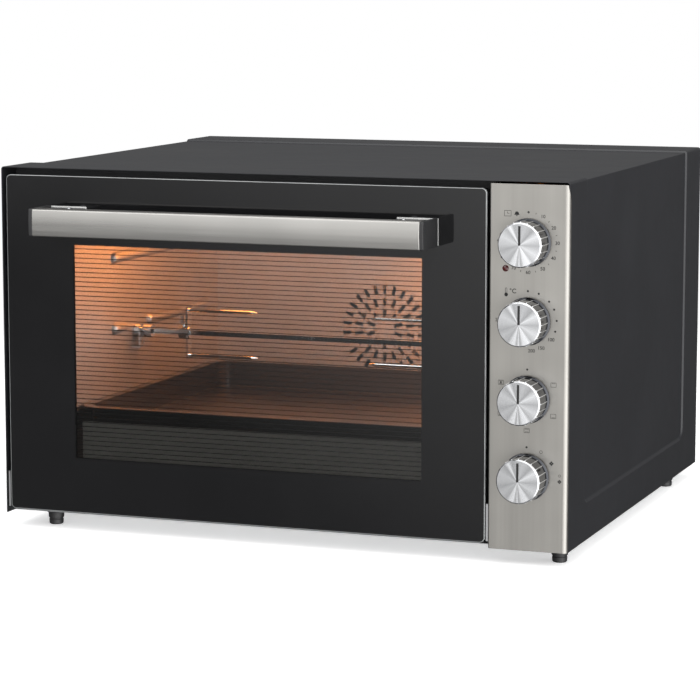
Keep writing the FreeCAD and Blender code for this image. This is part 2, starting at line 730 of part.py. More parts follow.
def hinge():
    """Hinge pins fixed in the door, ears that carry them, and the levers pulled by the springs."""
    pins = []
    for start, end in (("ear_left - ear_sheet", "door_left + frame_inset + 15"),
                       ("door_right - frame_inset - 15", "ear_right + ear_sheet")):
        length = f"({end}) - ({start})"
        pins.append(rod("x", (start, "hinge_back", "hinge_z"), "shaft_radius", length))
    node("hinge_pins", group(*pins))
    ears = []
    for low in ("ear_left - ear_sheet", "ear_right"):
        ear = box((low, "1.5", "hinge_z - 6.5"),
                  (f"{low} + ear_sheet", "frame_front", "hinge_z + 30"))
        bore = rod("x", (f"{low} - 1", "hinge_back", "hinge_z"),
                   "shaft_radius + running_fit", "ear_sheet + 2")
        ears.append(cut(ear, bore))
    node("hinge_ears", group(*ears))
    levers = []
    for middle in ("lever_left", "lever_right"):
        tail = "hinge_back + lever_reach"
        plate = box((f"{middle} - ear_sheet / 2", "door_frame_back", "hinge_z - lever_height / 2"),
                    (f"{middle} + ear_sheet / 2", tail, "hinge_z + lever_height / 2"))
        eye = rod("x", (f"{middle} - 5", f"{tail} - 5", "hinge_z"), "2", "10")
        levers.append(cut(plate, eye))
    node("door_levers", group(*levers))


def door_springs():
    """Extension springs that pull the levers back and hold the door shut."""
    coils = []
    pitch = 2.4 * value("spring_wire")
    for middle in ("lever_left", "lever_right"):
        length = value("spring_length")
        coil = Part.makeHelix(pitch, length, value("spring_radius"))
        start = FreeCAD.Vector(value("spring_radius"), 0, 0)
        circle = Part.Circle(start, FreeCAD.Vector(0, 1, 0), value("spring_wire"))
        wire = Part.Wire(coil.Edges).makePipeShell([Part.Wire([circle.toShape()])], True, True)
        hook = FreeCAD.Vector(value(middle), value("hinge_back") + value("lever_reach") + 2,
                              value("hinge_z"))
        wire.Placement = FreeCAD.Placement(hook, AXIS_TURN["y"])
        coils.append(wire)
    return shaped("door_springs", Part.makeCompound(coils))


def handle():
    """Steel bar on two plastic ends, each screwed through the glass."""
    body = new_body("handle_bar")
    low = "handle_z"
    high = "handle_z + handle_tall"
    face = "-handle_reach"
    rear = "handle_deep - handle_reach"
    section = [(face, low), (rear, low), (rear, high), (face, high)]
    pad(body, outline(body, "YZ_Plane", section, "bar_left"), "bar_right - bar_left")
    front_line = number(face) + 1
    soften(body, "4", lambda edge: runs_along(edge, (1, 0, 0)) and edge.CenterOfMass.y < front_line)
    inner_face = f"{face} + handle_wall + 3"
    inner_rear = f"{rear} - handle_wall"
    hollow = [(inner_face, f"{low} + handle_wall"), (inner_rear, f"{low} + handle_wall"),
              (inner_rear, f"{high} - handle_wall"), (inner_face, f"{high} - handle_wall")]
    inside = outline(body, "YZ_Plane", hollow, "bar_left - 1")
    pocket(body, inside, "bar_right - bar_left + 2", back=True)
    node("handle_bar", body)
    middle = "handle_z + handle_tall / 2"
    for label, cap_low, cap_high, post_low in (
            ("handle_end_left", "bar_left - handle_cap", "bar_left", "bar_left"),
            ("handle_end_right", "bar_right", "bar_right + handle_cap", "bar_right - handle_post")):
        cap = box((cap_low, face, low), (cap_high, "0", high))
        post = box((post_low, rear, f"{low} + 2"),
                   (f"{post_low} + handle_post", "0", f"{high} - 2"))
        bore = rod("y", (f"{post_low} + handle_post / 2", "-18", middle), "handle_screw", "30")
        node(label, cut(fuse(cap, post), bore))
    screws = []
    for x in ("bar_left + handle_post / 2", "bar_right - handle_post / 2"):
        shank = rod("y", (x, "-16", middle), "handle_screw", "18 + glass_thick")
        head = rod("y", (x, "glass_thick", middle), "handle_screw + 2", "3")
        screws.append(fuse(shank, head))
    node("handle_screws", group(*screws))


def door_seal():
    """Heat-proof strip round the cavity mouth, just clear of the closed door."""
    outer = box(("cavity_left - seal_width", "door_frame_back + lip", "cavity_low - seal_width"),
                ("cavity_right + seal_width", "frame_front", "cavity_top + seal_width"))
    inner = box(("cavity_left", "0", "cavity_low"), ("cavity_right", "40", "cavity_top"))
    return node("door_seal", cut(outer, inner))


# ---------------------------------------------------------------- cavity
def rib_spans(index):
    """Start and length of the shelf ribs at a level; the middle one stops for the spit."""
    start = "cavity_front + rib_start"
    end = "cavity_back - rib_end"
    if index != 1:
        return [(start, end)]
    return [(start, "spit_y - rib_break"), ("spit_y + rib_break", end)]


def side_wall(label, face, outward, openings):
    """Cavity side sheet with hollow shelf ribs pressed inwards."""
    sheet_low = face if outward > 0 else f"{face} - skin"
    plate = box((sheet_low, "cavity_front", "cavity_low"),
                (f"{sheet_low} + skin", "cavity_back", "cavity_top"))
    ribs = []
    hollows = []
    for index in range(3):
        level = f"rib_one_z + {index} * rib_pitch"
        for start, end in rib_spans(index):
            first = f"{start} + rib_radius"
            last = f"{end} - rib_radius"
            for pieces, radius in ((ribs, "rib_radius"), (hollows, "rib_radius - skin")):
                pieces.append(rod("y", (face, first, level), radius, f"({last}) - ({first})"))
                pieces.append(ball((face, first, level), radius))
                pieces.append(ball((face, last, level), radius))
    beyond = f"{face} + skin" if outward > 0 else f"{face} - skin - 40"
    outside = box((beyond, "0", "0"), (f"{beyond} + 40", "body_depth", "top_z"))
    pressed = cut(fuse(plate, *ribs), outside, *hollows)
    return node(label, cut(pressed, *openings) if openings else pressed)


def cavity():
    """Five sheets of the cooking chamber and the wool over it."""
    side_wall("cavity_left_wall", "cavity_left", -1, [])
    reach = "cavity_right - 5"
    openings = [
        rod("x", (reach, "spit_y", "spit_z"), "spit_hole", "12"),
        rod("x", (reach, "lamp_y", "lamp_z"), "lamp_hole", "12"),
        rod("x", (reach, "cavity_front + 60", "cavity_top - 40"), "1.6", "12"),
    ]
    for level in ("cavity_top - element_drop", "cavity_low + element_drop"):
        for run in (0, 3):
            start = (reach, f"cavity_front + element_first + {run} * element_pitch", level)
            openings.append(rod("x", start, "element_radius + lip", "12"))
    side_wall("cavity_right_wall", "cavity_right", 1, openings)
    for label, low in (("cavity_ceiling", "cavity_top"), ("cavity_floor", "cavity_low - skin")):
        node(label, box(("cavity_left - skin", "cavity_front", low),
                        ("cavity_right + skin", "cavity_back", f"{low} + skin")))
    back = box(("cavity_left - skin", "cavity_back", "cavity_low - skin"),
               ("cavity_right + skin", "cavity_back + skin", "cavity_top + skin"))
    opening = rod("y", ("cavity_mid", "cavity_back - 5", "fan_z"), "fan_opening", "10")
    node("cavity_back", cut(back, opening))
    wool = box(("cavity_left", "cavity_front + 6", "cavity_top + skin"),
               ("cavity_right", "cavity_back - 4", "cavity_top + skin + insulation_thick"))
    node("insulation", wool)


def heating_element(label, level):
    """Steel tube bent into a snake, its ends through the right wall."""
    left = value("cavity_left") + value("element_margin")
    right = value("cavity_right") - value("element_margin")
    outside = value("cavity_right") + value("element_tail")
    height = number(level)
    runs = [number(f"cavity_front + element_first + {run} * element_pitch") for run in range(4)]
    track = [(outside, runs[0]), (left, runs[0]), (left, runs[1]), (right, runs[1]),
             (right, runs[2]), (left, runs[2]), (left, runs[3]), (outside, runs[3])]
    points = [FreeCAD.Vector(x, y, height) for x, y in track]
    bend = 0.45 * value("element_pitch")
    return shaped(label, tube_along(points, bend, value("element_radius")))


def lamp():
    """Oven lamp behind a glass cover in the right wall."""
    cover = rod("x", ("cavity_right - 4", "lamp_y", "lamp_z"), "lamp_lens_radius", "4")
    dish = rod("x", ("cavity_right - 2.5", "lamp_y", "lamp_z"), "lamp_hole - 1", "3")
    node("lamp_cover", cut(cover, dish))
    start = "cavity_right + skin"
    cup = rod("x", (start, "lamp_y", "lamp_z"), "lamp_lens_radius", "lamp_cup_long")
    bowl = rod("x", (f"{start} - 1", "lamp_y", "lamp_z"), "lamp_lens_radius - 1", "lamp_cup_long")
    node("lamp_holder", cut(cup, bowl))
    bulb = new_body("lamp_bulb")
    cap_long = "lamp_cup_long - 21"
    pad(bulb, rounds(bulb, "XY_Plane", [("0", "0", "bulb_radius - 2")]), cap_long, back=True)
    pad(bulb, rounds(bulb, "XY_Plane", [("0", "0", "bulb_radius")]), "bulb_radius * 1.6")
    soften(bulb, "bulb_radius - 1", lambda edge: edge.CenterOfMass.z > number("bulb_radius"))
    bulb.Placement.Rotation = AXIS_TURN["x"].inverted()
    place(bulb, f"{start} + 20", "lamp_y", "lamp_z")
    node("lamp_bulb", bulb)


def thermostat_probe():
    """Sensing bulb of the thermostat on the right wall, with its capillary through the wall."""
    x = "cavity_right - 7"
    y = "cavity_front + 60"
    z = "cavity_top - 40"
    bulb = rod("y", (x, y, z), "3", "80")
    capillary = rod("x", (x, y, z), "1.2", "7 + skin + 12")
    clips = [box((x, f"{y} + {step}", f"{z} - 1"), ("cavity_right", f"{y} + {step + 4}", f"{z} + 1"))
             for step in (18, 58)]
    return node("thermostat_probe", fuse(bulb, capillary, *clips))


# ---------------------------------------------------------------- fan
def fan():
    """Perforated cover, fan wheel on its shaft, housing and motor behind the cavity."""
    grille = new_body("fan_grille")
    pad(grille, rounds(grille, "XY_Plane", [("0", "0", "fan_grille_radius")]), "1")
    for ring, count in ((0, 10), (1, 18), (2, 26)):
        inner = f"12 + {ring} * 14"
        slit = [("-2", inner), ("2", inner), ("2", f"{inner} + 10"), ("-2", f"{inner} + 10")]
        hole = pocket(grille, outline(grille, "XY_Plane", slit, "-1"), "3", back=True)
        repeat_round(grille, hole, count)
    turn_to_front(grille)
    place(grille, "cavity_mid", "cavity_back", "fan_z")
    node("fan_grille", grille)

    start = "cavity_back + skin"
    deep = "fan_housing_deep"
    drum = rod("y", ("cavity_mid", start, "fan_z"), "fan_housing_radius", deep)
    bowl = rod("y", ("cavity_mid", f"{start} - 1", "fan_z"), "fan_housing_radius - skin",
               f"{deep} + 1 - skin")
    hole = rod("y", ("cavity_mid", start, "fan_z"), "shaft_radius + 1", "fan_housing_deep + 5")
    node("fan_housing", cut(drum, bowl, hole))

    wheel = new_body("fan_wheel")
    pad(wheel, rounds(wheel, "XY_Plane", [("0", "0", "fan_radius")]), "1")
    blade = [("-0.5", "fan_radius - 22"), ("0.5", "fan_radius - 22"), ("0.5", "fan_radius - 1"),
             ("-0.5", "fan_radius - 1")]
    doc.recompute()
    fin = pad(wheel, outline(wheel, "XY_Plane", blade, "0.5"), "fan_blade_width")
    doc.recompute()
    repeat_round(wheel, fin, 12)
    pad(wheel, rounds(wheel, "XY_Plane", [("0", "0", "shaft_radius + 4")], "0.5"), "10")
    shaft = rounds(wheel, "XY_Plane", [("0", "0", "shaft_radius")], "0.5")
    pad(wheel, shaft, "fan_housing_deep - 7", back=True)
    turn_to_front(wheel)
    place(wheel, "cavity_mid", f"{start} + 20", "fan_z")
    node("fan_wheel", wheel)

    behind = f"{start} + fan_housing_deep"
    case = rod("y", ("cavity_mid", behind, "fan_z"), "fan_motor_radius", "fan_motor_long")
    bearing = rod("y", ("cavity_mid", f"{behind} - 1", "fan_z"), "shaft_radius + running_fit", "16")
    node("fan_motor", cut(case, bearing))


# ---------------------------------------------------------------- rotisserie
def rotisserie():
    """Square spit with a turned end, two forks with thumbscrews, the drive and its support."""
    neck_x = "cavity_left + 9"
    half = "spit_square / 2"
    shaft = box((f"{neck_x} + 10", f"spit_y - {half}", f"spit_z - {half}"),
                ("cavity_right - 4", f"spit_y + {half}", f"spit_z + {half}"))
    neck = rod("x", (f"{neck_x} - 7", "spit_y", "spit_z"), "spit_neck", "18")
    outer_collar = rod("x", (f"{neck_x} - 8", "spit_y", "spit_z"), "spit_collar", "6")
    inner_collar = rod("x", (f"{neck_x} + 2", "spit_y", "spit_z"), "spit_collar", "9")
    node("spit_rod", fuse(shaft, neck, outer_collar, inner_collar))

    plate = box((f"{neck_x} - 1", "spit_y - 11", "spit_z - 16"),
                (f"{neck_x} + 1", "spit_y + 11", "spit_z + 3"))
    foot = box(("cavity_left", "spit_y - 11", "spit_z - 18"),
               (f"{neck_x} + 1", "spit_y + 11", "spit_z - 16"))
    saddle = rod("x", (f"{neck_x} - 2", "spit_y", "spit_z"), "spit_neck + running_fit", "4")
    mouth = box((f"{neck_x} - 2", "spit_y - spit_neck - running_fit", "spit_z"),
                (f"{neck_x} + 2", "spit_y + spit_neck + running_fit", "spit_z + 5"))
    node("spit_support", cut(fuse(plate, foot), saddle, mouth))

    screws = []
    for label, hub_x, way in (("fork_left", "cavity_left + fork_set", 1),
                              ("fork_right", "cavity_right - fork_set", -1)):
        hub = rod("x", (f"{hub_x} - 6", "spit_y", "spit_z"), "fork_hub", "12")
        strap_x = f"{hub_x} + {4 * way}"
        strap = box((f"{strap_x} - 1", "spit_y - 6", "spit_z - fork_spread - 4"),
                    (f"{strap_x} + 1", "spit_y + 6", "spit_z + fork_spread + 4"))
        prongs = []
        for side in (-1, 1):
            start = strap_x if way > 0 else f"{strap_x} - fork_long"
            level = f"spit_z + {side} * fork_spread"
            prongs.append(rod("x", (start, "spit_y", level), "fork_prong", "fork_long"))
            if way > 0:
                tip = cone("x", (f"{strap_x} + fork_long", "spit_y", level), "fork_prong", "0.4", "7")
            else:
                tip = cone("x", (f"{start} - 7", "spit_y", level), "0.4", "fork_prong", "7")
            prongs.append(tip)
        channel = box((f"{hub_x} - 10", f"spit_y - {half}", f"spit_z - {half}"),
                      (f"{hub_x} + 10", f"spit_y + {half}", f"spit_z + {half}"))
        stem_x = f"{hub_x} - {2 * way}"
        drill = rod("z", (stem_x, "spit_y", "spit_z"), "fork_screw", "fork_hub + 8")
        node(label, cut(fuse(hub, strap, *prongs), channel, drill))
        stem = rod("z", (stem_x, "spit_y", f"spit_z + {half}"), "fork_screw", f"fork_hub + 6 - {half}")
        wing = box((f"{stem_x} - 1.3", "spit_y - 6", "spit_z + fork_hub + 3"),
                   (f"{stem_x} + 1.3", "spit_y + 6", "spit_z + fork_hub + 12"))
        screws.append(fuse(stem, wing))
    node("fork_screws", group(*screws))

    socket = rod("x", ("cavity_right - 12", "spit_y", "spit_z"), "spit_hole - 1.2", "skin + 22")
    pit = box(("cavity_right - 14", f"spit_y - {half}", f"spit_z - {half}"),
              ("cavity_right - 4", f"spit_y + {half}", f"spit_z + {half}"))
    axle = rod("x", ("cavity_right + skin + 9", "spit_y", "spit_z"), "shaft_radius", "16")
    node("drive_socket", cut(fuse(socket, axle), pit))

    side = "spit_motor_size / 2"
    start = "cavity_right + skin + 11"
    case = box((start, f"spit_y - {side}", f"spit_z - {side}"),
               (f"{start} + spit_motor_long", f"spit_y + {side}", f"spit_z + {side}"))
    legs = [box(("cavity_right + skin", f"spit_y + {way} * ({side} - 4) - 4", f"spit_z - {side}"),
                (start, f"spit_y + {way} * ({side} - 4) + 4", f"spit_z + {side}")) for way in (-1, 1)]
    bearing = rod("x", (f"{start} - 1", "spit_y", "spit_z"), "shaft_radius + running_fit", "18")
    node("spit_motor", cut(fuse(case, *legs), bearing))


# ---------------------------------------------------------------- tray
def baking_tray():
    """Deep-drawn tray whose rim runs on the lowest pair of ribs."""
    body = new_body("tray_flange")

    def field(inset):
        return [(f"tray_left + {inset}", f"tray_front + {inset}"),
                (f"tray_right - ({inset})", f"tray_front + {inset}"),
                (f"tray_right - ({inset})", f"tray_end - ({inset})"),
                (f"tray_left + {inset}", f"tray_end - ({inset})")]

    def upright(edge):
        return runs_along(edge, (0, 0, 1)) and edge.Length > 0.5

    pad(body, outline(body, "XY_Plane", field("0"), "rim_z"), "tray_sheet")
    soften(body, "tray_corner", upright)
    trough = new_body("tray_trough")
    pad(trough, outline(trough, "XY_Plane", field("tray_rim"), "rim_z - tray_deep"), "tray_deep")
    soften(trough, "tray_corner - tray_rim", upright)
    hollow = new_body("tray_hollow")
    wall = "tray_rim + tray_sheet"
    pad(hollow, outline(hollow, "XY_Plane", field(wall), "rim_z - tray_deep + tray_sheet"), "tray_deep + 5")
    soften(hollow, f"tray_corner - ({wall})", upright)
    return node("baking_tray", cut(fuse(body, trough), hollow))


# ---------------------------------------------------------------- mains and wiring
def mains():
    """Lead gland in the back panel, terminal block and the loom to the controls."""
    neck = rod("y", ("gland_x", "body_depth - 12", "gland_z"), "gland_radius", "12 + gland_reach")
    collar = rod("y", ("gland_x", "body_depth - skin", "gland_z"), "gland_radius + 3", "4")
    nut = rod("y", ("gland_x", "body_depth - 9", "gland_z"), "gland_radius + 3", "9 - 2 * skin")
    bore = rod("y", ("gland_x", "body_depth - 14", "gland_z"), "gland_bore", "20 + gland_reach")
    node("lead_gland", cut(fuse(neck, collar, nut), bore))
    block = box(("gland_x - 22", "body_depth - 75", "foot_height + skin"),
                ("gland_x + 22", "body_depth - 50", "foot_height + skin + 18"))
    wells = [rod("z", (f"gland_x - 15 + {step * 10}", "body_depth - 62.5", "foot_height + 8"), "3", "30")
             for step in range(4)]
    node("terminal_block", cut(block, *wells))
    run_x = value("half_width") - 12
    low = value("foot_height") + value("skin") + 6
    end_y = value("body_depth") - 82
    strands = []
    for index in range(4):
        level = number(knob_level(index))
        shift = 4.5 * index
        points = [
            FreeCAD.Vector(run_x - shift, 70, level), FreeCAD.Vector(run_x - shift, 100 + shift, level),
            FreeCAD.Vector(run_x - shift, 100 + shift, low), FreeCAD.Vector(run_x - shift, end_y, low),
        ]
        strands.append(tube_along(points, 9.0, 1.6))
    shaped("wiring_loom", Part.makeCompound(strands))


outer_wrap()
back_panel()
bottom_plate()
front_frame()
feet()
housing_screws()
control_panel()
CONTROLS = [
    ("timer", 52, 38, 34, 3),
    ("thermostat", 46, 40, 30, 3),
    ("function", 48, 42, 38, 4),
    ("light", 40, 36, 32, 3),
]
for order, (title, wide, tall, deep, tags) in enumerate(CONTROLS):
    knob(f"{title}_knob", order)
    knob_shaft(f"{title}_shaft", order)
    control_unit(f"{title}_switch", order, wide, tall, deep, tags)
indicator_lens()
door_glass()
door_frame()
inner_glass()
glass_clips()
hinge()
door_springs()
handle()
door_seal()
cavity()
heating_element("top_element", "cavity_top - element_drop")
heating_element("bottom_element", "cavity_low + element_drop")
lamp()
thermostat_probe()
fan()
rotisserie()
baking_tray()
mains()

doc.recompute()
for thing in doc.Objects:
    if "Invalid" in thing.State or "Error" in thing.State:
        raise RuntimeError(f"{thing.Label} ({thing.Name}) failed to recompute")
labels = [thing.Label for thing in nodes]
if len(set(labels)) != len(labels):
    raise RuntimeError("two sub-parts share a label")
for thing in nodes:
    if thing.Shape.isNull() or not thing.Shape.isValid():
        raise RuntimeError(f"{thing.Label} has no valid shape")
for thing in nodes:
    thing.Shape.exportStep(os.path.join("parts", thing.Label + ".step"))
print(f"{len(nodes)} sub-parts written")
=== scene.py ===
"""Looks of a countertop oven with rotisserie: every visible surface, the stage and the camera.

Metres, +Z up, front towards -Y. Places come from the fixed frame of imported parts.
"""

import json
import math

import bmesh
import bpy
from bpy.props import FloatProperty, FloatVectorProperty, IntProperty, PointerProperty
from mathutils import Euler, Matrix, Vector

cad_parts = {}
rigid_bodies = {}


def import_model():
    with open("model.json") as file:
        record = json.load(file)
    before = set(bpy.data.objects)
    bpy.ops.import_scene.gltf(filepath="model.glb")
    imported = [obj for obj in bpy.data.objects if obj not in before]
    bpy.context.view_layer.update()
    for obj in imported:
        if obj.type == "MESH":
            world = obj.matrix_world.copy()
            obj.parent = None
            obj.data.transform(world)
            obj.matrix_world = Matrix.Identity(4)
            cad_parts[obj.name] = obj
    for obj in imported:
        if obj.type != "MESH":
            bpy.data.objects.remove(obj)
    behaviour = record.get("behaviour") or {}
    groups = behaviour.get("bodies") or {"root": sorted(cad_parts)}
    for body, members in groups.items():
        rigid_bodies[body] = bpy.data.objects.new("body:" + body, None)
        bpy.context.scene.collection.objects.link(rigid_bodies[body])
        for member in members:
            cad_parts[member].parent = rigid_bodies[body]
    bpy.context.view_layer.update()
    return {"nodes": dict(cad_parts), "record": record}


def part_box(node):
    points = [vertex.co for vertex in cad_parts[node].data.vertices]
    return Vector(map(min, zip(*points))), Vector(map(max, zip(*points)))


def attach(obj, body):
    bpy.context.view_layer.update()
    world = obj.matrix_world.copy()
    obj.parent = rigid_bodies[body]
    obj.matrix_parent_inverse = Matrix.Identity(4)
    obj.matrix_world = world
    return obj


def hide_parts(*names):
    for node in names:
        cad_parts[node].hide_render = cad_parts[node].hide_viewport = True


bl_info = {
    "name": "Countertop Oven",
    "version": (1, 0, 0),
    "blender": (4, 5, 0),
    "location": "3D View > Sidebar > Oven",
    "description": "Builds the visible pieces of a countertop oven round its packed frame",
    "category": "Object",
}

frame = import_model()
MM = 0.001
UV_SCALE = 10.0


# ---------------------------------------------------------------- settings
def colour(title, meaning, default):
    return FloatVectorProperty(name=title, description=meaning, subtype="COLOR", size=3,
                               min=0.0, max=1.0, default=default)


def length(title, meaning, default):
    return FloatProperty(name=title, description=meaning, unit="LENGTH", subtype="DISTANCE",
                         precision=5, default=default)


class OvenFinishSettings(bpy.types.PropertyGroup):
    """Colours of the oven's finishes."""
    housing: colour("Housing", "Black enamel of the housing", (0.0155, 0.016, 0.0185))
    panel: colour("Control panel", "Brushed steel of the control panel", (0.36, 0.348, 0.325))
    handle: colour("Handle", "Brushed steel of the handle bar", (0.46, 0.45, 0.43))
    knob: colour("Knobs", "Spun aluminium of the knob faces", (0.95, 0.96, 0.98))
    skirt: colour("Knob skirts", "Dark chrome of the knob skirts", (0.06, 0.062, 0.068))
    print_black: colour("Door print", "Black print behind the door glass", (0.006, 0.006, 0.0065))
    cavity: colour("Cavity", "Aluminised sheet of the cavity", (0.56, 0.55, 0.545))
    tray: colour("Tray", "Enamel of the baking tray", (0.018, 0.016, 0.015))
    glow: colour("Heating glow", "Light of the heating tubes", (1.0, 0.30, 0.06))


class OvenShapeSettings(bpy.types.PropertyGroup):
    """Sizes that are only a matter of looks."""
    sheet_bend: length("Sheet bend", "Outer radius of the bends of the housing", 3.0 * MM)
    belt_slope: length("Belt slope", "Width of the pressed step round the belt", 2.6 * MM)
    line_pitch: length("Line pitch", "From line to line in the window print", 4.75 * MM)
    line_width: length("Line width", "Height of a line in the window print", 1.0 * MM)
    window_side: length("Window side", "Door edge to the clear window, left", 73.5 * MM)
    window_end: length("Window end", "Clear window to the door edge, right", 64.5 * MM)
    window_low: length("Window foot", "Door underside to the clear window", 56.0 * MM)
    window_high: length("Window head", "Clear window to the top of the door", 69.0 * MM)
    band_height: length("Band height", "Darker printed band at the foot of the window", 38.0 * MM)
    knob_ridges: IntProperty(name="Knob ridges", description="Ridges round a knob", default=20)
    dial_radius: length("Dial radius", "Radius of the printed scales", 28.6 * MM)


class OvenStageSettings(bpy.types.PropertyGroup):
    """Floor, light and camera."""
    floor: colour("Floor", "Pale floor", (0.93, 0.93, 0.93))
    key_power: FloatProperty(name="Key light", description="Soft light from the front left",
                             unit="POWER", default=12.0)
    top_power: FloatProperty(name="Top light", description="Soft light from above",
                             unit="POWER", default=16.0)
    glow_power: FloatProperty(name="Cavity glow", description="Warm light in the cavity",
                              unit="POWER", default=1.5)
    camera_place: FloatVectorProperty(name="Camera place", description="Where the camera stands",
                                      unit="LENGTH", default=(1.01044, -2.77432, 0.57452))
    camera_turn: FloatVectorProperty(name="Camera turn", description="How the camera is turned",
                                     unit="ROTATION", subtype="EULER",
                                     default=(math.radians(82.103), 0.0, math.radians(20.262)))
    lens: FloatProperty(name="Lens", description="Focal length", unit="CAMERA", default=144.04)


# ---------------------------------------------------------------- node trees
def add(tree, kind, feeds=(), **settings):
    """Adds a node, sets its own settings and feeds its inputs with values or sockets."""
    node = tree.nodes.new(kind)
    for key, value in settings.items():
        setattr(node, key, value)
    for socket, value in dict(feeds).items():
        if isinstance(value, bpy.types.NodeSocket):
            tree.links.new(value, node.inputs[socket])
        else:
            node.inputs[socket].default_value = value
    return node


def new_material(name):
    """An empty node tree of a new finish."""
    material = bpy.data.materials.new("look_" + name)
    material.use_nodes = True
    material.node_tree.nodes.clear()
    return material.node_tree


def end_surface(tree, socket):
    add(tree, "ShaderNodeOutputMaterial", {"Surface": socket})


def grain(tree, scale, stretch=(1, 1, 1), detail=4.0, rough=0.55):
    """Noise on the piece's own coordinates, stretched along chosen axes."""
    place = add(tree, "ShaderNodeTexCoord").outputs["Object"]
    mapped = add(tree, "ShaderNodeMapping", {"Vector": place, "Scale": stretch})
    noise = add(tree, "ShaderNodeTexNoise",
                {"Vector": mapped.outputs[0], "Scale": scale, "Detail": detail, "Roughness": rough})
    return noise.outputs["Fac"]


def between(tree, fac, low, high, start=0.3, end=0.7):
    """Carries a noise value over to a range of numbers."""
    feeds = {"Value": fac, "From Min": start, "From Max": end, "To Min": low, "To Max": high}
    return add(tree, "ShaderNodeMapRange", feeds).outputs["Result"]


def tinted(tree, fac, dark, light):
    """Carries a noise value over to a range of colours."""
    ramp = add(tree, "ShaderNodeValToRGB", {"Fac": fac})
    for element, place, tone in zip(ramp.color_ramp.elements, (0.3, 0.7), (dark, light)):
        element.position = place
        element.color = (*tone, 1.0)
    return ramp.outputs["Color"]


def shade(tone, share):
    return tuple(min(1.0, channel * share) for channel in tone)


def bump(tree, height, distance, strength=1.0):
    feeds = {"Height": height, "Distance": distance, "Strength": strength}
    return add(tree, "ShaderNodeBump", feeds).outputs["Normal"]


def principled(tree, feeds):
    return add(tree, "ShaderNodeBsdfPrincipled", feeds).outputs["BSDF"]


def enamel(name, tone, roughness=0.42, texture=0.00006, coat=0.0, shine=0.5):
    """Baked enamel on sheet: fine orange peel and slow changes of gloss."""
    tree = new_material(name)
    peel = grain(tree, 900.0, detail=3.0)
    cloud = grain(tree, 9.0)
    end_surface(tree, principled(tree, {
        "Base Color": tinted(tree, cloud, shade(tone, 0.92), shade(tone, 1.10)),
        "Roughness": between(tree, cloud, roughness - 0.05, roughness + 0.06),
        "Normal": bump(tree, peel, texture),
        "Coat Weight": coat,
        "Coat Roughness": 0.12,
        "Specular IOR Level": shine,
    }))


def brushed(name, tone, stretch, roughness=0.30, streak=0.9, uv="along"):
    """Brushed steel: hairlines along one axis, with highlights drawn across them."""
    tree = new_material(name)
    hair = grain(tree, 1500.0, stretch, detail=2.0)
    broad = grain(tree, 160.0, stretch, detail=4.0)
    smear = grain(tree, 14.0, detail=2.0)
    mixed = add(tree, "ShaderNodeMath", {0: broad, 1: smear}, operation="MULTIPLY_ADD")
    mixed.inputs[2].default_value = 0.22
    tangent = add(tree, "ShaderNodeTangent", direction_type="UV_MAP", uv_map=uv)
    end_surface(tree, principled(tree, {
        "Base Color": tinted(tree, mixed.outputs[0], shade(tone, 0.90), shade(tone, 1.08)),
        "Metallic": 1.0,
        "Roughness": between(tree, broad, roughness - 0.05, roughness + 0.07),
        "Anisotropic": streak,
        "Tangent": tangent.outputs["Tangent"],
        "Normal": bump(tree, hair, 0.00001, 0.5),
    }))


def metal(name, tone, roughness, cloud_scale=40.0, spread=0.06, dirt=0.15, texture=0.00002):
    """Plain metal with uneven gloss and faint handling marks."""
    tree = new_material(name)
    cloud = grain(tree, cloud_scale, detail=5.0)
    fine = grain(tree, 1400.0, detail=2.0)
    end_surface(tree, principled(tree, {
        "Base Color": tinted(tree, cloud, shade(tone, 1.0 - dirt), tone),
        "Metallic": 1.0,
        "Roughness": between(tree, cloud, roughness + spread, max(0.03, roughness - spread)),
        "Normal": bump(tree, fine, texture, 0.4),
    }))


def spangle(name, tone):
    """Galvanised sheet with its crystal pattern."""
    tree = new_material(name)
    place = add(tree, "ShaderNodeTexCoord").outputs["Object"]
    cells = add(tree, "ShaderNodeTexVoronoi", {"Vector": place, "Scale": 130.0})
    value = add(tree, "ShaderNodeSeparateColor", {"Color": cells.outputs["Color"]}).outputs[0]
    end_surface(tree, principled(tree, {
        "Base Color": tinted(tree, value, shade(tone, 0.80), tone),
        "Metallic": 1.0,
        "Roughness": between(tree, value, 0.34, 0.50, 0.0, 1.0),
        "Normal": bump(tree, value, 0.00002, 0.3),
    }))


def moulded(name, tone, roughness=0.5, scale=1100.0, texture=0.00008):
    """Moulded plastic with a fine spark-eroded texture."""
    tree = new_material(name)
    pits = grain(tree, scale, detail=2.0)
    cloud = grain(tree, 30.0)
    end_surface(tree, principled(tree, {
        "Base Color": tinted(tree, cloud, shade(tone, 0.9), shade(tone, 1.12)),
        "Roughness": between(tree, cloud, roughness - 0.06, roughness + 0.06),
        "Normal": bump(tree, pits, texture, 0.8),
    }))


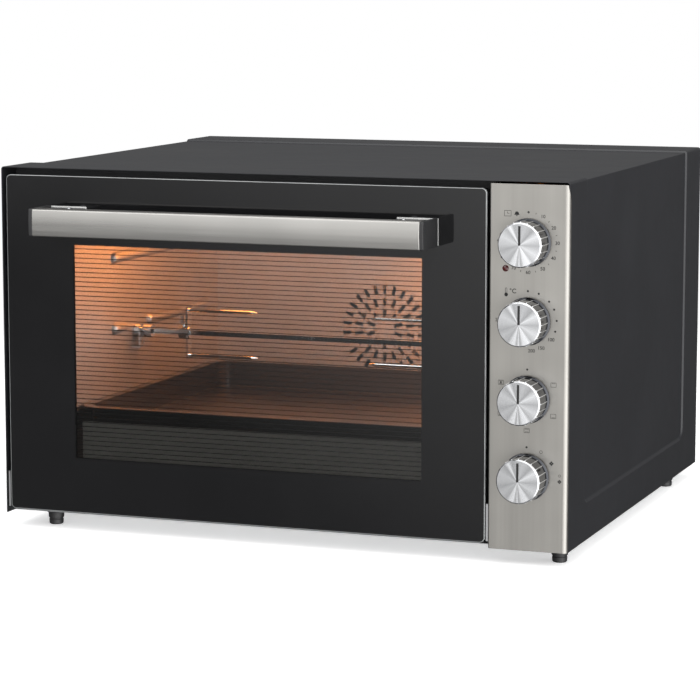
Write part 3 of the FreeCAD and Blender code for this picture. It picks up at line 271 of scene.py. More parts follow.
def pane(name, tint, reflection, haze=0.0):
    """Thin clear glass with a mirror film; rays other than the camera's pass dimmed to 0.4."""
    tree = new_material(name)
    smear = grain(tree, 6.0, detail=3.0)
    eye = add(tree, "ShaderNodeLightPath").outputs["Is Camera Ray"]
    through = add(tree, "ShaderNodeMix", {"Factor": eye, 6: (0.4, 0.4, 0.4, 1.0), 7: (*tint, 1.0)},
                  data_type="RGBA").outputs[2]
    clear = add(tree, "ShaderNodeBsdfTransparent", {"Color": through}).outputs[0]
    gloss = add(tree, "ShaderNodeBsdfGlossy",
                {"Color": (1.0, 1.0, 1.0, 1.0),
                 "Roughness": between(tree, smear, 0.01, 0.035)}).outputs[0]
    edge = add(tree, "ShaderNodeFresnel", {"IOR": reflection}).outputs[0]
    mixed = add(tree, "ShaderNodeMixShader", {"Fac": edge, 1: clear, 2: gloss}).outputs[0]
    if haze:
        dust = add(tree, "ShaderNodeBsdfDiffuse", {"Color": (0.8, 0.8, 0.8, 1.0)}).outputs[0]
        mixed = add(tree, "ShaderNodeMixShader", {"Fac": haze, 1: mixed, 2: dust}).outputs[0]
    end_surface(tree, mixed)


def screen_print(name, tone, cover):
    """Printed lines that let a little light through, thinner in places."""
    tree = new_material(name)
    patch = grain(tree, 700.0, detail=2.0)
    ink = principled(tree, {"Base Color": (*tone, 1.0), "Roughness": 0.35})
    clear = add(tree, "ShaderNodeBsdfTransparent").outputs[0]
    fac = between(tree, patch, cover - 0.08, cover + 0.06)
    end_surface(tree, add(tree, "ShaderNodeMixShader", {"Fac": fac, 1: clear, 2: ink}).outputs[0])


def glowing(name, tone, light, power):
    """A heating tube: oxidised sheath with a dull glow that changes at random along it."""
    tree = new_material(name)
    scale = grain(tree, 220.0)
    end_surface(tree, principled(tree, {
        "Base Color": tinted(tree, scale, shade(tone, 0.6), tone),
        "Metallic": 0.6,
        "Roughness": between(tree, scale, 0.45, 0.65),
        "Normal": bump(tree, scale, 0.00005, 0.5),
        "Emission Color": tinted(tree, grain(tree, 18.0), shade(light, 0.55), light),
        "Emission Strength": power,
    }))


def fibrous(name, tone, scale, texture):
    """Woven or felted fibre."""
    tree = new_material(name)
    strands = grain(tree, scale, (1.0, 1.0, 3.0), detail=6.0, rough=0.7)
    end_surface(tree, principled(tree, {
        "Base Color": tinted(tree, strands, shade(tone, 0.55), shade(tone, 1.2)),
        "Roughness": 0.95,
        "Sheen Weight": 0.3,
        "Normal": bump(tree, strands, texture),
    }))


# Painted highlights of the knob faces: how light the base colour is at each share of a turn round
# the axis, standing for the lamps' reflections in spun metal.
PAINTED_HIGHLIGHT_STREAKS = ((0.0, 0.62), (0.05, 0.48), (0.10, 0.62), (0.16, 0.52), (0.185, 0.88), (0.215, 1.0),
           (0.235, 0.52), (0.25, 0.95), (0.265, 0.48), (0.29, 0.92), (0.335, 1.0), (0.36, 0.56),
           (0.42, 0.74), (0.50, 0.48), (0.58, 0.80), (0.63, 0.42), (0.70, 0.60), (0.80, 0.46),
           (0.83, 0.92), (0.86, 0.46), (0.93, 0.70), (1.0, 0.62))


def spun(name, tone):
    """Spun aluminium: fine turning rings, with painted highlight streaks that run out from the
    centre: the base colour is made lighter and darker by the angle round the axis.
    """
    tree = new_material(name)
    place = add(tree, "ShaderNodeSeparateXYZ",
                {"Vector": add(tree, "ShaderNodeUVMap", uv_map="along").outputs[0]}).outputs
    rings = add(tree, "ShaderNodeTexNoise",
                {"W": place["X"], "Scale": 900.0, "Detail": 3.0}, noise_dimensions="1D")
    round_share = add(tree, "ShaderNodeMath", {0: place["Y"], 1: 0.5}, operation="ADD").outputs[0]
    # This ramp paints the highlight streaks: lighter and darker base colour by the angle round the
    # axis.
    fan = add(tree, "ShaderNodeValToRGB", {"Fac": round_share})
    stops = fan.color_ramp.elements
    for index, (stop, light) in enumerate(PAINTED_HIGHLIGHT_STREAKS):
        element = stops[index] if index < 2 else stops.new(stop)
        element.position = stop
        element.color = (light, light, light, 1.0)
    ringed = tinted(tree, rings.outputs["Fac"], shade(tone, 0.90), tone)
    highlight_painted_colour = add(tree, "ShaderNodeMix", {"Factor": 1.0, 6: ringed, 7: fan.outputs["Color"]},
                   data_type="RGBA", blend_type="MULTIPLY").outputs[2]
    tangent = add(tree, "ShaderNodeTangent", direction_type="UV_MAP", uv_map="along")
    end_surface(tree, principled(tree, {
        "Base Color": highlight_painted_colour,
        "Metallic": 1.0,
        "Roughness": between(tree, rings.outputs["Fac"], 0.22, 0.30),
        "Anisotropic": 0.8,
        "Tangent": tangent.outputs["Tangent"],
    }))


def lens_red(name):
    tree = new_material(name)
    cloud = grain(tree, 300.0)
    end_surface(tree, principled(tree, {
        "Base Color": tinted(tree, cloud, (0.040, 0.001, 0.001), (0.06, 0.002, 0.002)),
        "Roughness": 0.2,
        "Coat Weight": 0.3,
    }))


def build_finishes(look):
    """Makes every finish under the name that the pieces use."""
    finishes = {
        "housing_enamel": (enamel, look.housing, 0.40),
        "inner_enamel": (enamel, look.housing, 0.5),
        "galvanised": (spangle, (0.55, 0.56, 0.57)),
        "cavity_sheet": (metal, look.cavity, 0.52, 10.0, 0.05, 0.12),
        "panel_steel": (brushed, look.panel, (1.0, 1.0, 0.012), 0.34, 0.6),
        "handle_steel": (brushed, look.handle, (0.012, 1.0, 1.0), 0.30, 0.5),
        "knob_face": (spun, look.knob),
        "knob_ring": (metal, (0.74, 0.75, 0.77), 0.16),
        # Light grey foot of the handle ends: painted highlight along their rear edges.
        "foot_trim": (moulded, (0.55, 0.55, 0.54), 0.4),
        "knob_skirt": (metal, look.skirt, 0.14),
        "black_plastic": (moulded, (0.016, 0.016, 0.017), 0.5),
        "slot_black": (moulded, (0.008, 0.008, 0.008), 0.7),
        "dial_print": (moulded, (0.010, 0.010, 0.010), 0.85),
        "door_pane": (pane, (0.86, 0.86, 0.85), 1.41),
        "printed_pane": (enamel, look.print_black, 0.06, 0.0, 0.0, 0.38),
        "inner_pane": (pane, (0.94, 0.95, 0.94), 1.30),
        # Grey of the ground glass edges, lightened as a painted highlight.
        "glass_edge": (moulded, (0.30, 0.31, 0.31), 0.2, 400.0, 0.00002),
        "door_print": (enamel, look.print_black, 0.5, 0.0, 0.0, 0.1),
        "window_lines": (screen_print, (0.02, 0.012, 0.008), 0.55),
        "band_film": (screen_print, (0.34, 0.33, 0.30), 0.93),
        "seal_fibre": (fibrous, (0.10, 0.10, 0.10), 500.0, 0.0004),
        "mineral_wool": (fibrous, (0.55, 0.48, 0.30), 160.0, 0.002),
        "heating_tube": (glowing, (0.20, 0.17, 0.15), look.glow, 3.0),
        "cold_tube": (glowing, (0.22, 0.20, 0.18), look.glow, 0.05),
        "tray_enamel": (enamel, look.tray, 0.34, 0.00004, 0.2),
        "spit_chrome": (metal, (0.78, 0.79, 0.80), 0.12),
        "plain_steel": (metal, (0.52, 0.52, 0.53), 0.32),
        "fan_aluminium": (metal, (0.68, 0.68, 0.69), 0.38),
        "motor_case": (enamel, (0.20, 0.20, 0.21), 0.5),
        "switch_plastic": (moulded, (0.62, 0.60, 0.54), 0.45),
        "ceramic_block": (moulded, (0.74, 0.72, 0.67), 0.4, 500.0),
        "wire_insulation": (moulded, (0.36, 0.05, 0.035), 0.5, 600.0),
        "lamp_red": (lens_red,),
        "bulb_glass": (pane, (0.95, 0.94, 0.90), 1.4, 0.25),
    }
    for name, (maker, *values) in finishes.items():
        maker(name, *values)


def finish_of(name):
    return bpy.data.materials["look_" + name]


# ---------------------------------------------------------------- meshes
AXIS_ORDER = {"x": (1, 2, 0), "y": (0, 2, 1), "z": (0, 1, 2)}


def spot(axis, across, up, along):
    """A point from its two places across an axis and its place along it."""
    point = [0.0, 0.0, 0.0]
    for index, value in zip(AXIS_ORDER[axis], (across, up, along)):
        point[index] = value
    return Vector(point)


def arc(centre, radius, start, end, steps):
    """Points on a round stretch, angles in degrees."""
    return [(centre[0] + radius * math.cos(math.radians(start + (end - start) * step / steps)),
             centre[1] + radius * math.sin(math.radians(start + (end - start) * step / steps)))
            for step in range(steps + 1)]


def rounded_outline(low, high, radii, steps=8):
    """A rectangle with its own radius at each corner, from low left anticlockwise."""
    corners = ((low[0], low[1], 1, 1, 180), (high[0], low[1], -1, 1, 270),
               (high[0], high[1], -1, -1, 0), (low[0], high[1], 1, -1, 90))
    points = []
    for (x, y, inward_x, inward_y, start), radius in zip(corners, radii):
        if radius <= 0:
            points.append((x, y))
            continue
        centre = (x + inward_x * radius, y + inward_y * radius)
        points += arc(centre, radius, start, start + 90, steps)
    return points


def prism(bm, axis, outline, start, end, material=0):
    """A closed solid with one outline along an axis."""
    rings = [[bm.verts.new(spot(axis, a, b, level)) for a, b in outline] for level in (start, end)]
    faces = [bm.faces.new(rings[0]), bm.faces.new(list(reversed(rings[1])))]
    count = len(outline)
    for index in range(count):
        after = (index + 1) % count
        faces.append(bm.faces.new((rings[0][after], rings[0][index],
                                   rings[1][index], rings[1][after])))
    for face in faces:
        face.material_index = material
    return faces


def block(bm, low, high, material=0):
    """A box between two corners."""
    outline = [(low[0], low[1]), (high[0], low[1]), (high[0], high[1]), (low[0], high[1])]
    return prism(bm, "z", outline, low[2], high[2], material)


def lathe(bm, axis, centre, profile, steps=64, materials=None):
    """A turned solid; the profile holds (radius, place along the axis) from pole to pole."""
    rings = []
    for radius, along in profile:
        if radius < 1e-9:
            rings.append([bm.verts.new(centre + spot(axis, 0.0, 0.0, along))])
            continue
        ring = []
        for step in range(steps):
            angle = 2.0 * math.pi * step / steps
            offset = spot(axis, radius * math.cos(angle), radius * math.sin(angle), along)
            ring.append(bm.verts.new(centre + offset))
        rings.append(ring)
    for level, (lower, upper) in enumerate(zip(rings, rings[1:])):
        for step in range(steps):
            after = (step + 1) % steps
            corners = [lower[step % len(lower)], lower[after % len(lower)],
                       upper[after % len(upper)], upper[step % len(upper)]]
            unique = list(dict.fromkeys(corners))
            if len(unique) > 2:
                face = bm.faces.new(unique)
                face.material_index = materials[level] if materials else 0


def settle(name, mesh):
    obj = bpy.data.objects.new(name, mesh)
    bpy.context.scene.collection.objects.link(obj)
    return obj


def applied(obj):
    """Replaces an object's mesh by what its modifiers give, and removes them."""
    depsgraph = bpy.context.evaluated_depsgraph_get()
    mesh = bpy.data.meshes.new_from_object(obj.evaluated_get(depsgraph))
    obj.modifiers.clear()
    obj.data = mesh
    return obj


def softened(obj, width, segments=2, angle=32.0):
    """Rounds every edge that is sharper than an angle."""
    edge = obj.modifiers.new("edge", "BEVEL")
    edge.width = width
    edge.segments = segments
    edge.limit_method = "ANGLE"
    edge.angle_limit = math.radians(angle)
    return applied(obj)


def carved(obj, cutter):
    """Cuts one solid out of another."""
    cut = obj.modifiers.new("cut", "BOOLEAN")
    cut.operation = "DIFFERENCE"
    cut.solver = "EXACT"
    cut.object = cutter
    applied(obj)
    bpy.data.objects.remove(cutter)
    return obj


def from_bmesh(name, bm, finishes, normals=True):
    """An object from a bmesh, merged, with its faces pointing outwards."""
    bmesh.ops.remove_doubles(bm, verts=bm.verts, dist=1e-7)
    if normals:
        bmesh.ops.recalc_face_normals(bm, faces=bm.faces)
    mesh = bpy.data.meshes.new(name)
    bm.to_mesh(mesh)
    bm.free()
    for finish in finishes:
        mesh.materials.append(finish_of(finish))
    return settle(name, mesh)


def smoothed(obj, angle=40.0):
    """Smooth shading whose normals follow the large faces, so flats stay flat."""
    obj.data.shade_smooth()
    obj.data.set_sharp_from_angle(angle=math.radians(angle))
    level = obj.modifiers.new("level", "WEIGHTED_NORMAL")
    level.keep_sharp = True
    level.weight = 100
    return applied(obj)


def seated(obj, body, slot, *nodes, angle=40.0):
    """Finishes a piece: shading, its body and the nodes that it stands for. The slot is not used."""
    smoothed(obj, angle)
    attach(obj, body)
    if nodes:
        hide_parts(*nodes)
    return obj


def laid_uv(obj, along, across, name="along"):
    """A UV map whose U runs along one direction, for the highlights of brushed metal."""
    layer = obj.data.uv_layers.new(name=name)
    along, across = Vector(along), Vector(across)
    for loop in obj.data.loops:
        place = obj.data.vertices[loop.vertex_index].co
        layer.data[loop.index].uv = (place.dot(along) * UV_SCALE, place.dot(across) * UV_SCALE)
    return obj


def slot_of(node):
    """The record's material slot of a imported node."""
    return [row["material_slot"] for row in frame["record"]["subparts"] if row["node"] == node][0]


def dressed(node, finish, body, width=0.0003, segments=2, name=None):
    """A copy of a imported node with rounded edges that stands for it."""
    bm = bmesh.new()
    bm.from_mesh(frame["nodes"][node].data)
    bmesh.ops.remove_doubles(bm, verts=bm.verts, dist=2e-6)
    bmesh.ops.dissolve_limit(bm, angle_limit=math.radians(0.7), verts=bm.verts, edges=bm.edges)
    obj = from_bmesh(name or node + "_shown", bm, [finish], normals=False)
    if width:
        softened(obj, width, segments)
    return seated(obj, body, slot_of(node), node)


# ---------------------------------------------------------------- patterns grown by rule
def new_pattern(name, inputs):
    """An empty geometry tree with a piece to repeat and named sizes as its inputs."""
    tree = bpy.data.node_groups.new(name, "GeometryNodeTree")
    tree.is_modifier = True
    tree.interface.new_socket("Geometry", in_out="OUTPUT", socket_type="NodeSocketGeometry")
    tree.interface.new_socket("Piece", in_out="INPUT", socket_type="NodeSocketGeometry")
    for title, kind, default in inputs:
        socket = tree.interface.new_socket(title, in_out="INPUT", socket_type="NodeSocket" + kind)
        if default is not None:
            socket.default_value = default
    return tree, add(tree, "NodeGroupInput").outputs


def end_pattern(tree, geometry, finish):
    solid = add(tree, "GeometryNodeRealizeInstances", {"Geometry": geometry}).outputs[0]
    coated = add(tree, "GeometryNodeSetMaterial", {"Geometry": solid, "Material": finish})
    add(tree, "NodeGroupOutput", {"Geometry": coated.outputs[0]})
    return tree


def rows_pattern():
    """Repeats a piece in columns and rows."""
    tree, given = new_pattern("rows", (
        ("Columns", "Int", 1), ("Rows", "Int", 1), ("Column step", "Vector", (0, 0, 0)),
        ("Row step", "Vector", (0, 0, 0)), ("Start", "Vector", (0, 0, 0)),
        ("Finish", "Material", None)))
    column = add(tree, "GeometryNodeMeshLine",
                 {"Count": given["Columns"], "Start Location": given["Start"],
                  "Offset": given["Column step"]}).outputs[0]
    row = add(tree, "GeometryNodeMeshLine",
              {"Count": given["Rows"], "Offset": given["Row step"]}).outputs[0]
    lines = add(tree, "GeometryNodeInstanceOnPoints", {"Points": column, "Instance": row})
    spots = add(tree, "GeometryNodeRealizeInstances", {"Geometry": lines.outputs[0]}).outputs[0]
    copies = add(tree, "GeometryNodeInstanceOnPoints", {"Points": spots, "Instance": given["Piece"]})
    return end_pattern(tree, copies.outputs[0], given["Finish"])


def ring_pattern():
    """Repeats a piece round an axis: the piece is drawn round +Z, then the ring is turned."""
    tree, given = new_pattern("ring", (
        ("Count", "Int", 12), ("First", "Float", 0.0), ("Step", "Float", 0.5),
        ("Centre", "Vector", (0, 0, 0)), ("Turn", "Rotation", None), ("Finish", "Material", None)))
    spots = add(tree, "GeometryNodeMeshLine",
                {"Count": given["Count"], "Offset": (0.0, 0.0, 0.0)}).outputs[0]
    index = add(tree, "GeometryNodeInputIndex").outputs[0]
    angle = add(tree, "ShaderNodeMath", {0: index, 1: given["Step"], 2: given["First"]},
                operation="MULTIPLY_ADD").outputs[0]
    turn = add(tree, "FunctionNodeAxisAngleToRotation", {"Axis": (0.0, 0.0, 1.0), "Angle": angle})
    copies = add(tree, "GeometryNodeInstanceOnPoints",
                 {"Points": spots, "Instance": given["Piece"], "Rotation": turn.outputs[0]})
    placed = add(tree, "GeometryNodeTransform",
                 {"Geometry": copies.outputs[0], "Translation": given["Centre"],
                  "Rotation": given["Turn"]})
    return end_pattern(tree, placed.outputs[0], given["Finish"])


def pattern(name):
    found = bpy.data.node_groups.get(name)
    return found or {"rows": rows_pattern, "ring": ring_pattern}[name]()


def grown(name, kind, bm, finish, **values):
    """The plain mesh that a pattern gives for one piece and the chosen sizes."""
    bmesh.ops.recalc_face_normals(bm, faces=bm.faces)
    mesh = bpy.data.meshes.new(name)
    bm.to_mesh(mesh)
    bm.free()
    obj = settle(name, mesh)
    mesh.shade_smooth()
    mesh.set_sharp_from_angle(angle=math.radians(35.0))
    growth = obj.modifiers.new("growth", "NODES")
    growth.node_group = pattern(kind)
    wanted = {title.replace("_", " ").capitalize(): value for title, value in values.items()}
    wanted["Finish"] = finish_of(finish)
    for item in growth.node_group.interface.items_tree:
        if item.in_out == "INPUT" and item.name in wanted:
            growth[item.identifier] = wanted[item.name]
    return applied(obj)


def joined(name, *pieces):
    """Several plain meshes as one piece."""
    with bpy.context.temp_override(active_object=pieces[0], object=pieces[0],
                                   selected_editable_objects=list(pieces),
                                   selected_objects=list(pieces)):
        bpy.ops.object.join()
    pieces[0].name = name
    return pieces[0]


FRONTWARDS = (math.radians(90.0), 0.0, 0.0)


# ---------------------------------------------------------------- measures from the frame
class Places:
    """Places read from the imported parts."""
    wrap_low, wrap_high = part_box("outer_wrap")
    glass_low, glass_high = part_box("door_glass")
    panel_low, panel_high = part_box("control_panel")
    bar_low, bar_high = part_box("handle_bar")
    floor_low, floor_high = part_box("cavity_floor")
    cavity_low = Vector((floor_low.x, floor_low.y, floor_high.z))
    cavity_high = Vector((floor_high.x, floor_high.y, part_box("cavity_ceiling")[0].z))


# ---------------------------------------------------------------- housing
def wrap_shape(shape):
    """Top and sides in one sheet: bends along both upper edges and a belt pressed round it."""
    low, high = Places.wrap_low, Places.wrap_high
    sink, band_front, band_back, strip, corner = 2.3 * MM, 60 * MM, 62 * MM, 37 * MM, 14 * MM
    bend, slope = shape.sheet_bend, shape.belt_slope
    up = high.z - low.z
    across = high.x - low.x
    leg = up - bend
    top = across - 2 * bend
    quarter = math.pi * bend / 2
    total = 2 * leg + 2 * quarter + top

    def on_path(s):
        """Point and outward direction of the section at a distance along it."""
        if s <= leg:
            return (low.x, low.z + s), (-1.0, 0.0)
        if s <= leg + quarter:
            angle = math.pi - (s - leg) / bend
            centre = (low.x + bend, high.z - bend)
        elif s <= leg + quarter + top:
            return (low.x + bend + s - leg - quarter, high.z), (0.0, 1.0)
        elif s <= leg + 2 * quarter + top:
            angle = math.pi / 2 - (s - leg - quarter - top) / bend
            centre = (high.x - bend, high.z - bend)
        else:
            return (high.x, high.z - bend - (s - leg - 2 * quarter - top)), (1.0, 0.0)
        way = (math.cos(angle), math.sin(angle))
        return (centre[0] + bend * way[0], centre[1] + bend * way[1]), way

    def depth(s, y):
        """How far the belt is pressed in: a rounded field with sloping edges."""
        half_s, half_y = total / 2 - strip, (high.y - low.y - band_front - band_back) / 2
        middle_y = low.y + band_front + half_y
        out_s = abs(s - total / 2) - (half_s - corner)
        out_y = abs(y - middle_y) - (half_y - corner)
        inside = min(max(out_s, out_y), 0.0) + math.hypot(max(out_s, 0.0), max(out_y, 0.0)) - corner
        share = min(max(-inside / slope, 0.0), 1.0)
        return sink * share * share * (3 - 2 * share)

    def lines(start, end, fine, coarse, spans):
        """Grid places: coarse everywhere, fine inside the given spans."""
        places = {start, end}
        steps = int((end - start) / coarse)
        places.update(start + (end - start) * step / steps for step in range(steps))
        for a, b in spans:
            places = {p for p in places if p <= a or p >= b}
            count = max(2, int((b - a) / fine))
            places.update(a + (b - a) * step / count for step in range(count + 1))
        return sorted(places)

    fine = 0.9 * MM
    reach = corner + 2 * MM
    s_spans = [(strip - MM, strip + reach), (leg, leg + quarter),
               (leg + quarter + top, leg + 2 * quarter + top),
               (total - strip - reach, total - strip + MM)]
    y_front, y_back = low.y + band_front, high.y - band_back
    y_spans = [(y_front - MM, y_front + reach), (y_back - reach, y_back + MM)]
    s_places = lines(0.0, total, fine, 30 * MM, s_spans)
    y_places = lines(low.y, high.y, fine, 30 * MM, y_spans)
    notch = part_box("control_panel")[0].y + 5.8 * MM
    bm = bmesh.new()
    grid = []
    for s in s_places:
        (x, z), (way_x, way_z) = on_path(s)
        column = []
        for y in y_places:
            sunk = depth(s, y)
            behind = max(y, notch) if s > leg + 2 * quarter + top else y
            column.append(bm.verts.new((x - way_x * sunk, behind, z - way_z * sunk)))
        grid.append(column)
    for left, right in zip(grid, grid[1:]):
        for index in range(len(y_places) - 1):
            bm.faces.new((left[index], left[index + 1], right[index + 1], right[index]))
    return bm


class OVEN_OT_housing(bpy.types.Operator):
    """Sheet housing with its belt, back, underside, feet and screws"""
    bl_idname = "oven.housing"
    bl_label = "Housing"

    def execute(self, context):
        shape = context.scene.oven_shape
        wrap = from_bmesh("outer_wrap_sheet", wrap_shape(shape), ["housing_enamel"], False)
        top = max(wrap.data.polygons, key=lambda face: face.center.z)
        if top.normal.z < 0:
            wrap.data.flip_normals()
        wall = wrap.modifiers.new("wall", "SOLIDIFY")
        wall.thickness = 0.8 * MM
        wall.offset = -1.0
        applied(wrap)
        softened(wrap, 0.25 * MM, 2, 60.0)
        seated(wrap, "housing", "black_enamelled_sheet", "outer_wrap", angle=50.0)
        dressed("back_panel", "housing_enamel", "housing", 0.25 * MM)
        dressed("bottom_plate", "galvanised", "housing", 0.2 * MM)
        dressed("front_frame", "inner_enamel", "housing", 0.3 * MM)
        self.feet()
        self.screws()
        return {"FINISHED"}

    def feet(self):
        """Turned feet with a stepped rim."""
        low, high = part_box("feet")
        radius = 10.0 * MM
        tall = high.z
        profile = [(0.0, 0.0), (6.2 * MM, 0.0), (7.2 * MM, 0.8 * MM), (7.5 * MM, 5.0 * MM),
                   (7.0 * MM, 5.6 * MM), (7.1 * MM, 6.6 * MM), (8.0 * MM, 7.2 * MM),
                   (8.2 * MM, tall - 2.6 * MM), (radius - 0.4 * MM, tall - 2.2 * MM),
                   (radius, tall - 1.8 * MM), (radius, tall - 0.3 * MM), (0.0, tall - 0.3 * MM)]
        bm = bmesh.new()
        lathe(bm, "z", Vector(), profile, 40)
        feet = grown("feet_turned", "rows", bm, "black_plastic", columns=2, rows=2,
                     start=(low.x + radius, low.y + radius, 0.0),
                     column_step=(high.x - low.x - 2 * radius, 0.0, 0.0),
                     row_step=(0.0, high.y - low.y - 2 * radius, 0.0))
        seated(feet, "housing", "black_plastic", "feet")

    def screws(self):
        """Pan-head screws with a cross recess."""
        low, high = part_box("housing_screws")
        radius = 3.5 * MM
        proud = high.y - low.y
        cap = [(0.0, 0.0), (radius, 0.0), (radius, proud * 0.35), (radius * 0.8, proud * 0.8),
               (radius * 0.4, proud), (0.0, proud)]
        turned = bmesh.new()
        lathe(turned, "y", Vector(), cap, 32)
        head = from_bmesh("screw_head", turned, ["plain_steel"])
        cross = bmesh.new()
        arm, thin = 1.7 * MM, 0.4 * MM
        block(cross, (-arm, proud * 0.45, -thin), (arm, proud * 2, thin))
        block(cross, (-thin, proud * 0.45, -arm), (thin, proud * 2, arm))
        carved(head, from_bmesh("screw_cross", cross, ["plain_steel"]))
        bm = bmesh.new()
        bm.from_mesh(head.data)
        bpy.data.objects.remove(head)
        rows = {"rows": 2, "row_step": (0.0, 0.0, high.z - low.z - 2 * radius)}
        sides = grown("screws_side", "rows", bm.copy(), "plain_steel", columns=2,
                      start=(low.x + radius, low.y, low.z + radius),
                      column_step=(high.x - low.x - 2 * radius, 0.0, 0.0), **rows)
        middle_x = Places.cavity_high.x - 0.8 * MM + 30 * MM
        middle = grown("screws_middle", "rows", bm, "plain_steel", columns=1,
                       start=(middle_x, low.y, low.z + radius), **rows)
        seated(joined("housing_screw_heads", sides, middle), "housing", "plain_steel",
               "housing_screws")


# ---------------------------------------------------------------- control column
DIALS = ("timer", "thermostat", "function", "light")


def knob_centre(dial):
    low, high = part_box(dial + "_knob")
    return Vector(((low.x + high.x) / 2, high.y, (low.z + high.z) / 2))


def flat_text(name, words, size, middle, finish, lift):
    """Thin printed characters on a plane that faces the front."""
    curve = bpy.data.curves.new(name, "FONT")
    curve.body = words
    curve.size = size
    curve.align_x = "CENTER"
    curve.align_y = "CENTER"
    curve.extrude = lift / 2
    curve.offset = size * 0.012
    curve.resolution_u = 4
    holder = bpy.data.objects.new(name + "_curve", curve)
    bpy.context.scene.collection.objects.link(holder)
    depsgraph = bpy.context.evaluated_depsgraph_get()
    mesh = bpy.data.meshes.new_from_object(holder.evaluated_get(depsgraph))
    bpy.data.objects.remove(holder)
    mesh.transform(Matrix.Translation(middle) @ Euler(FRONTWARDS).to_matrix().to_4x4())
    mesh.materials.clear()
    mesh.materials.append(finish_of(finish))
    return settle(name, mesh)


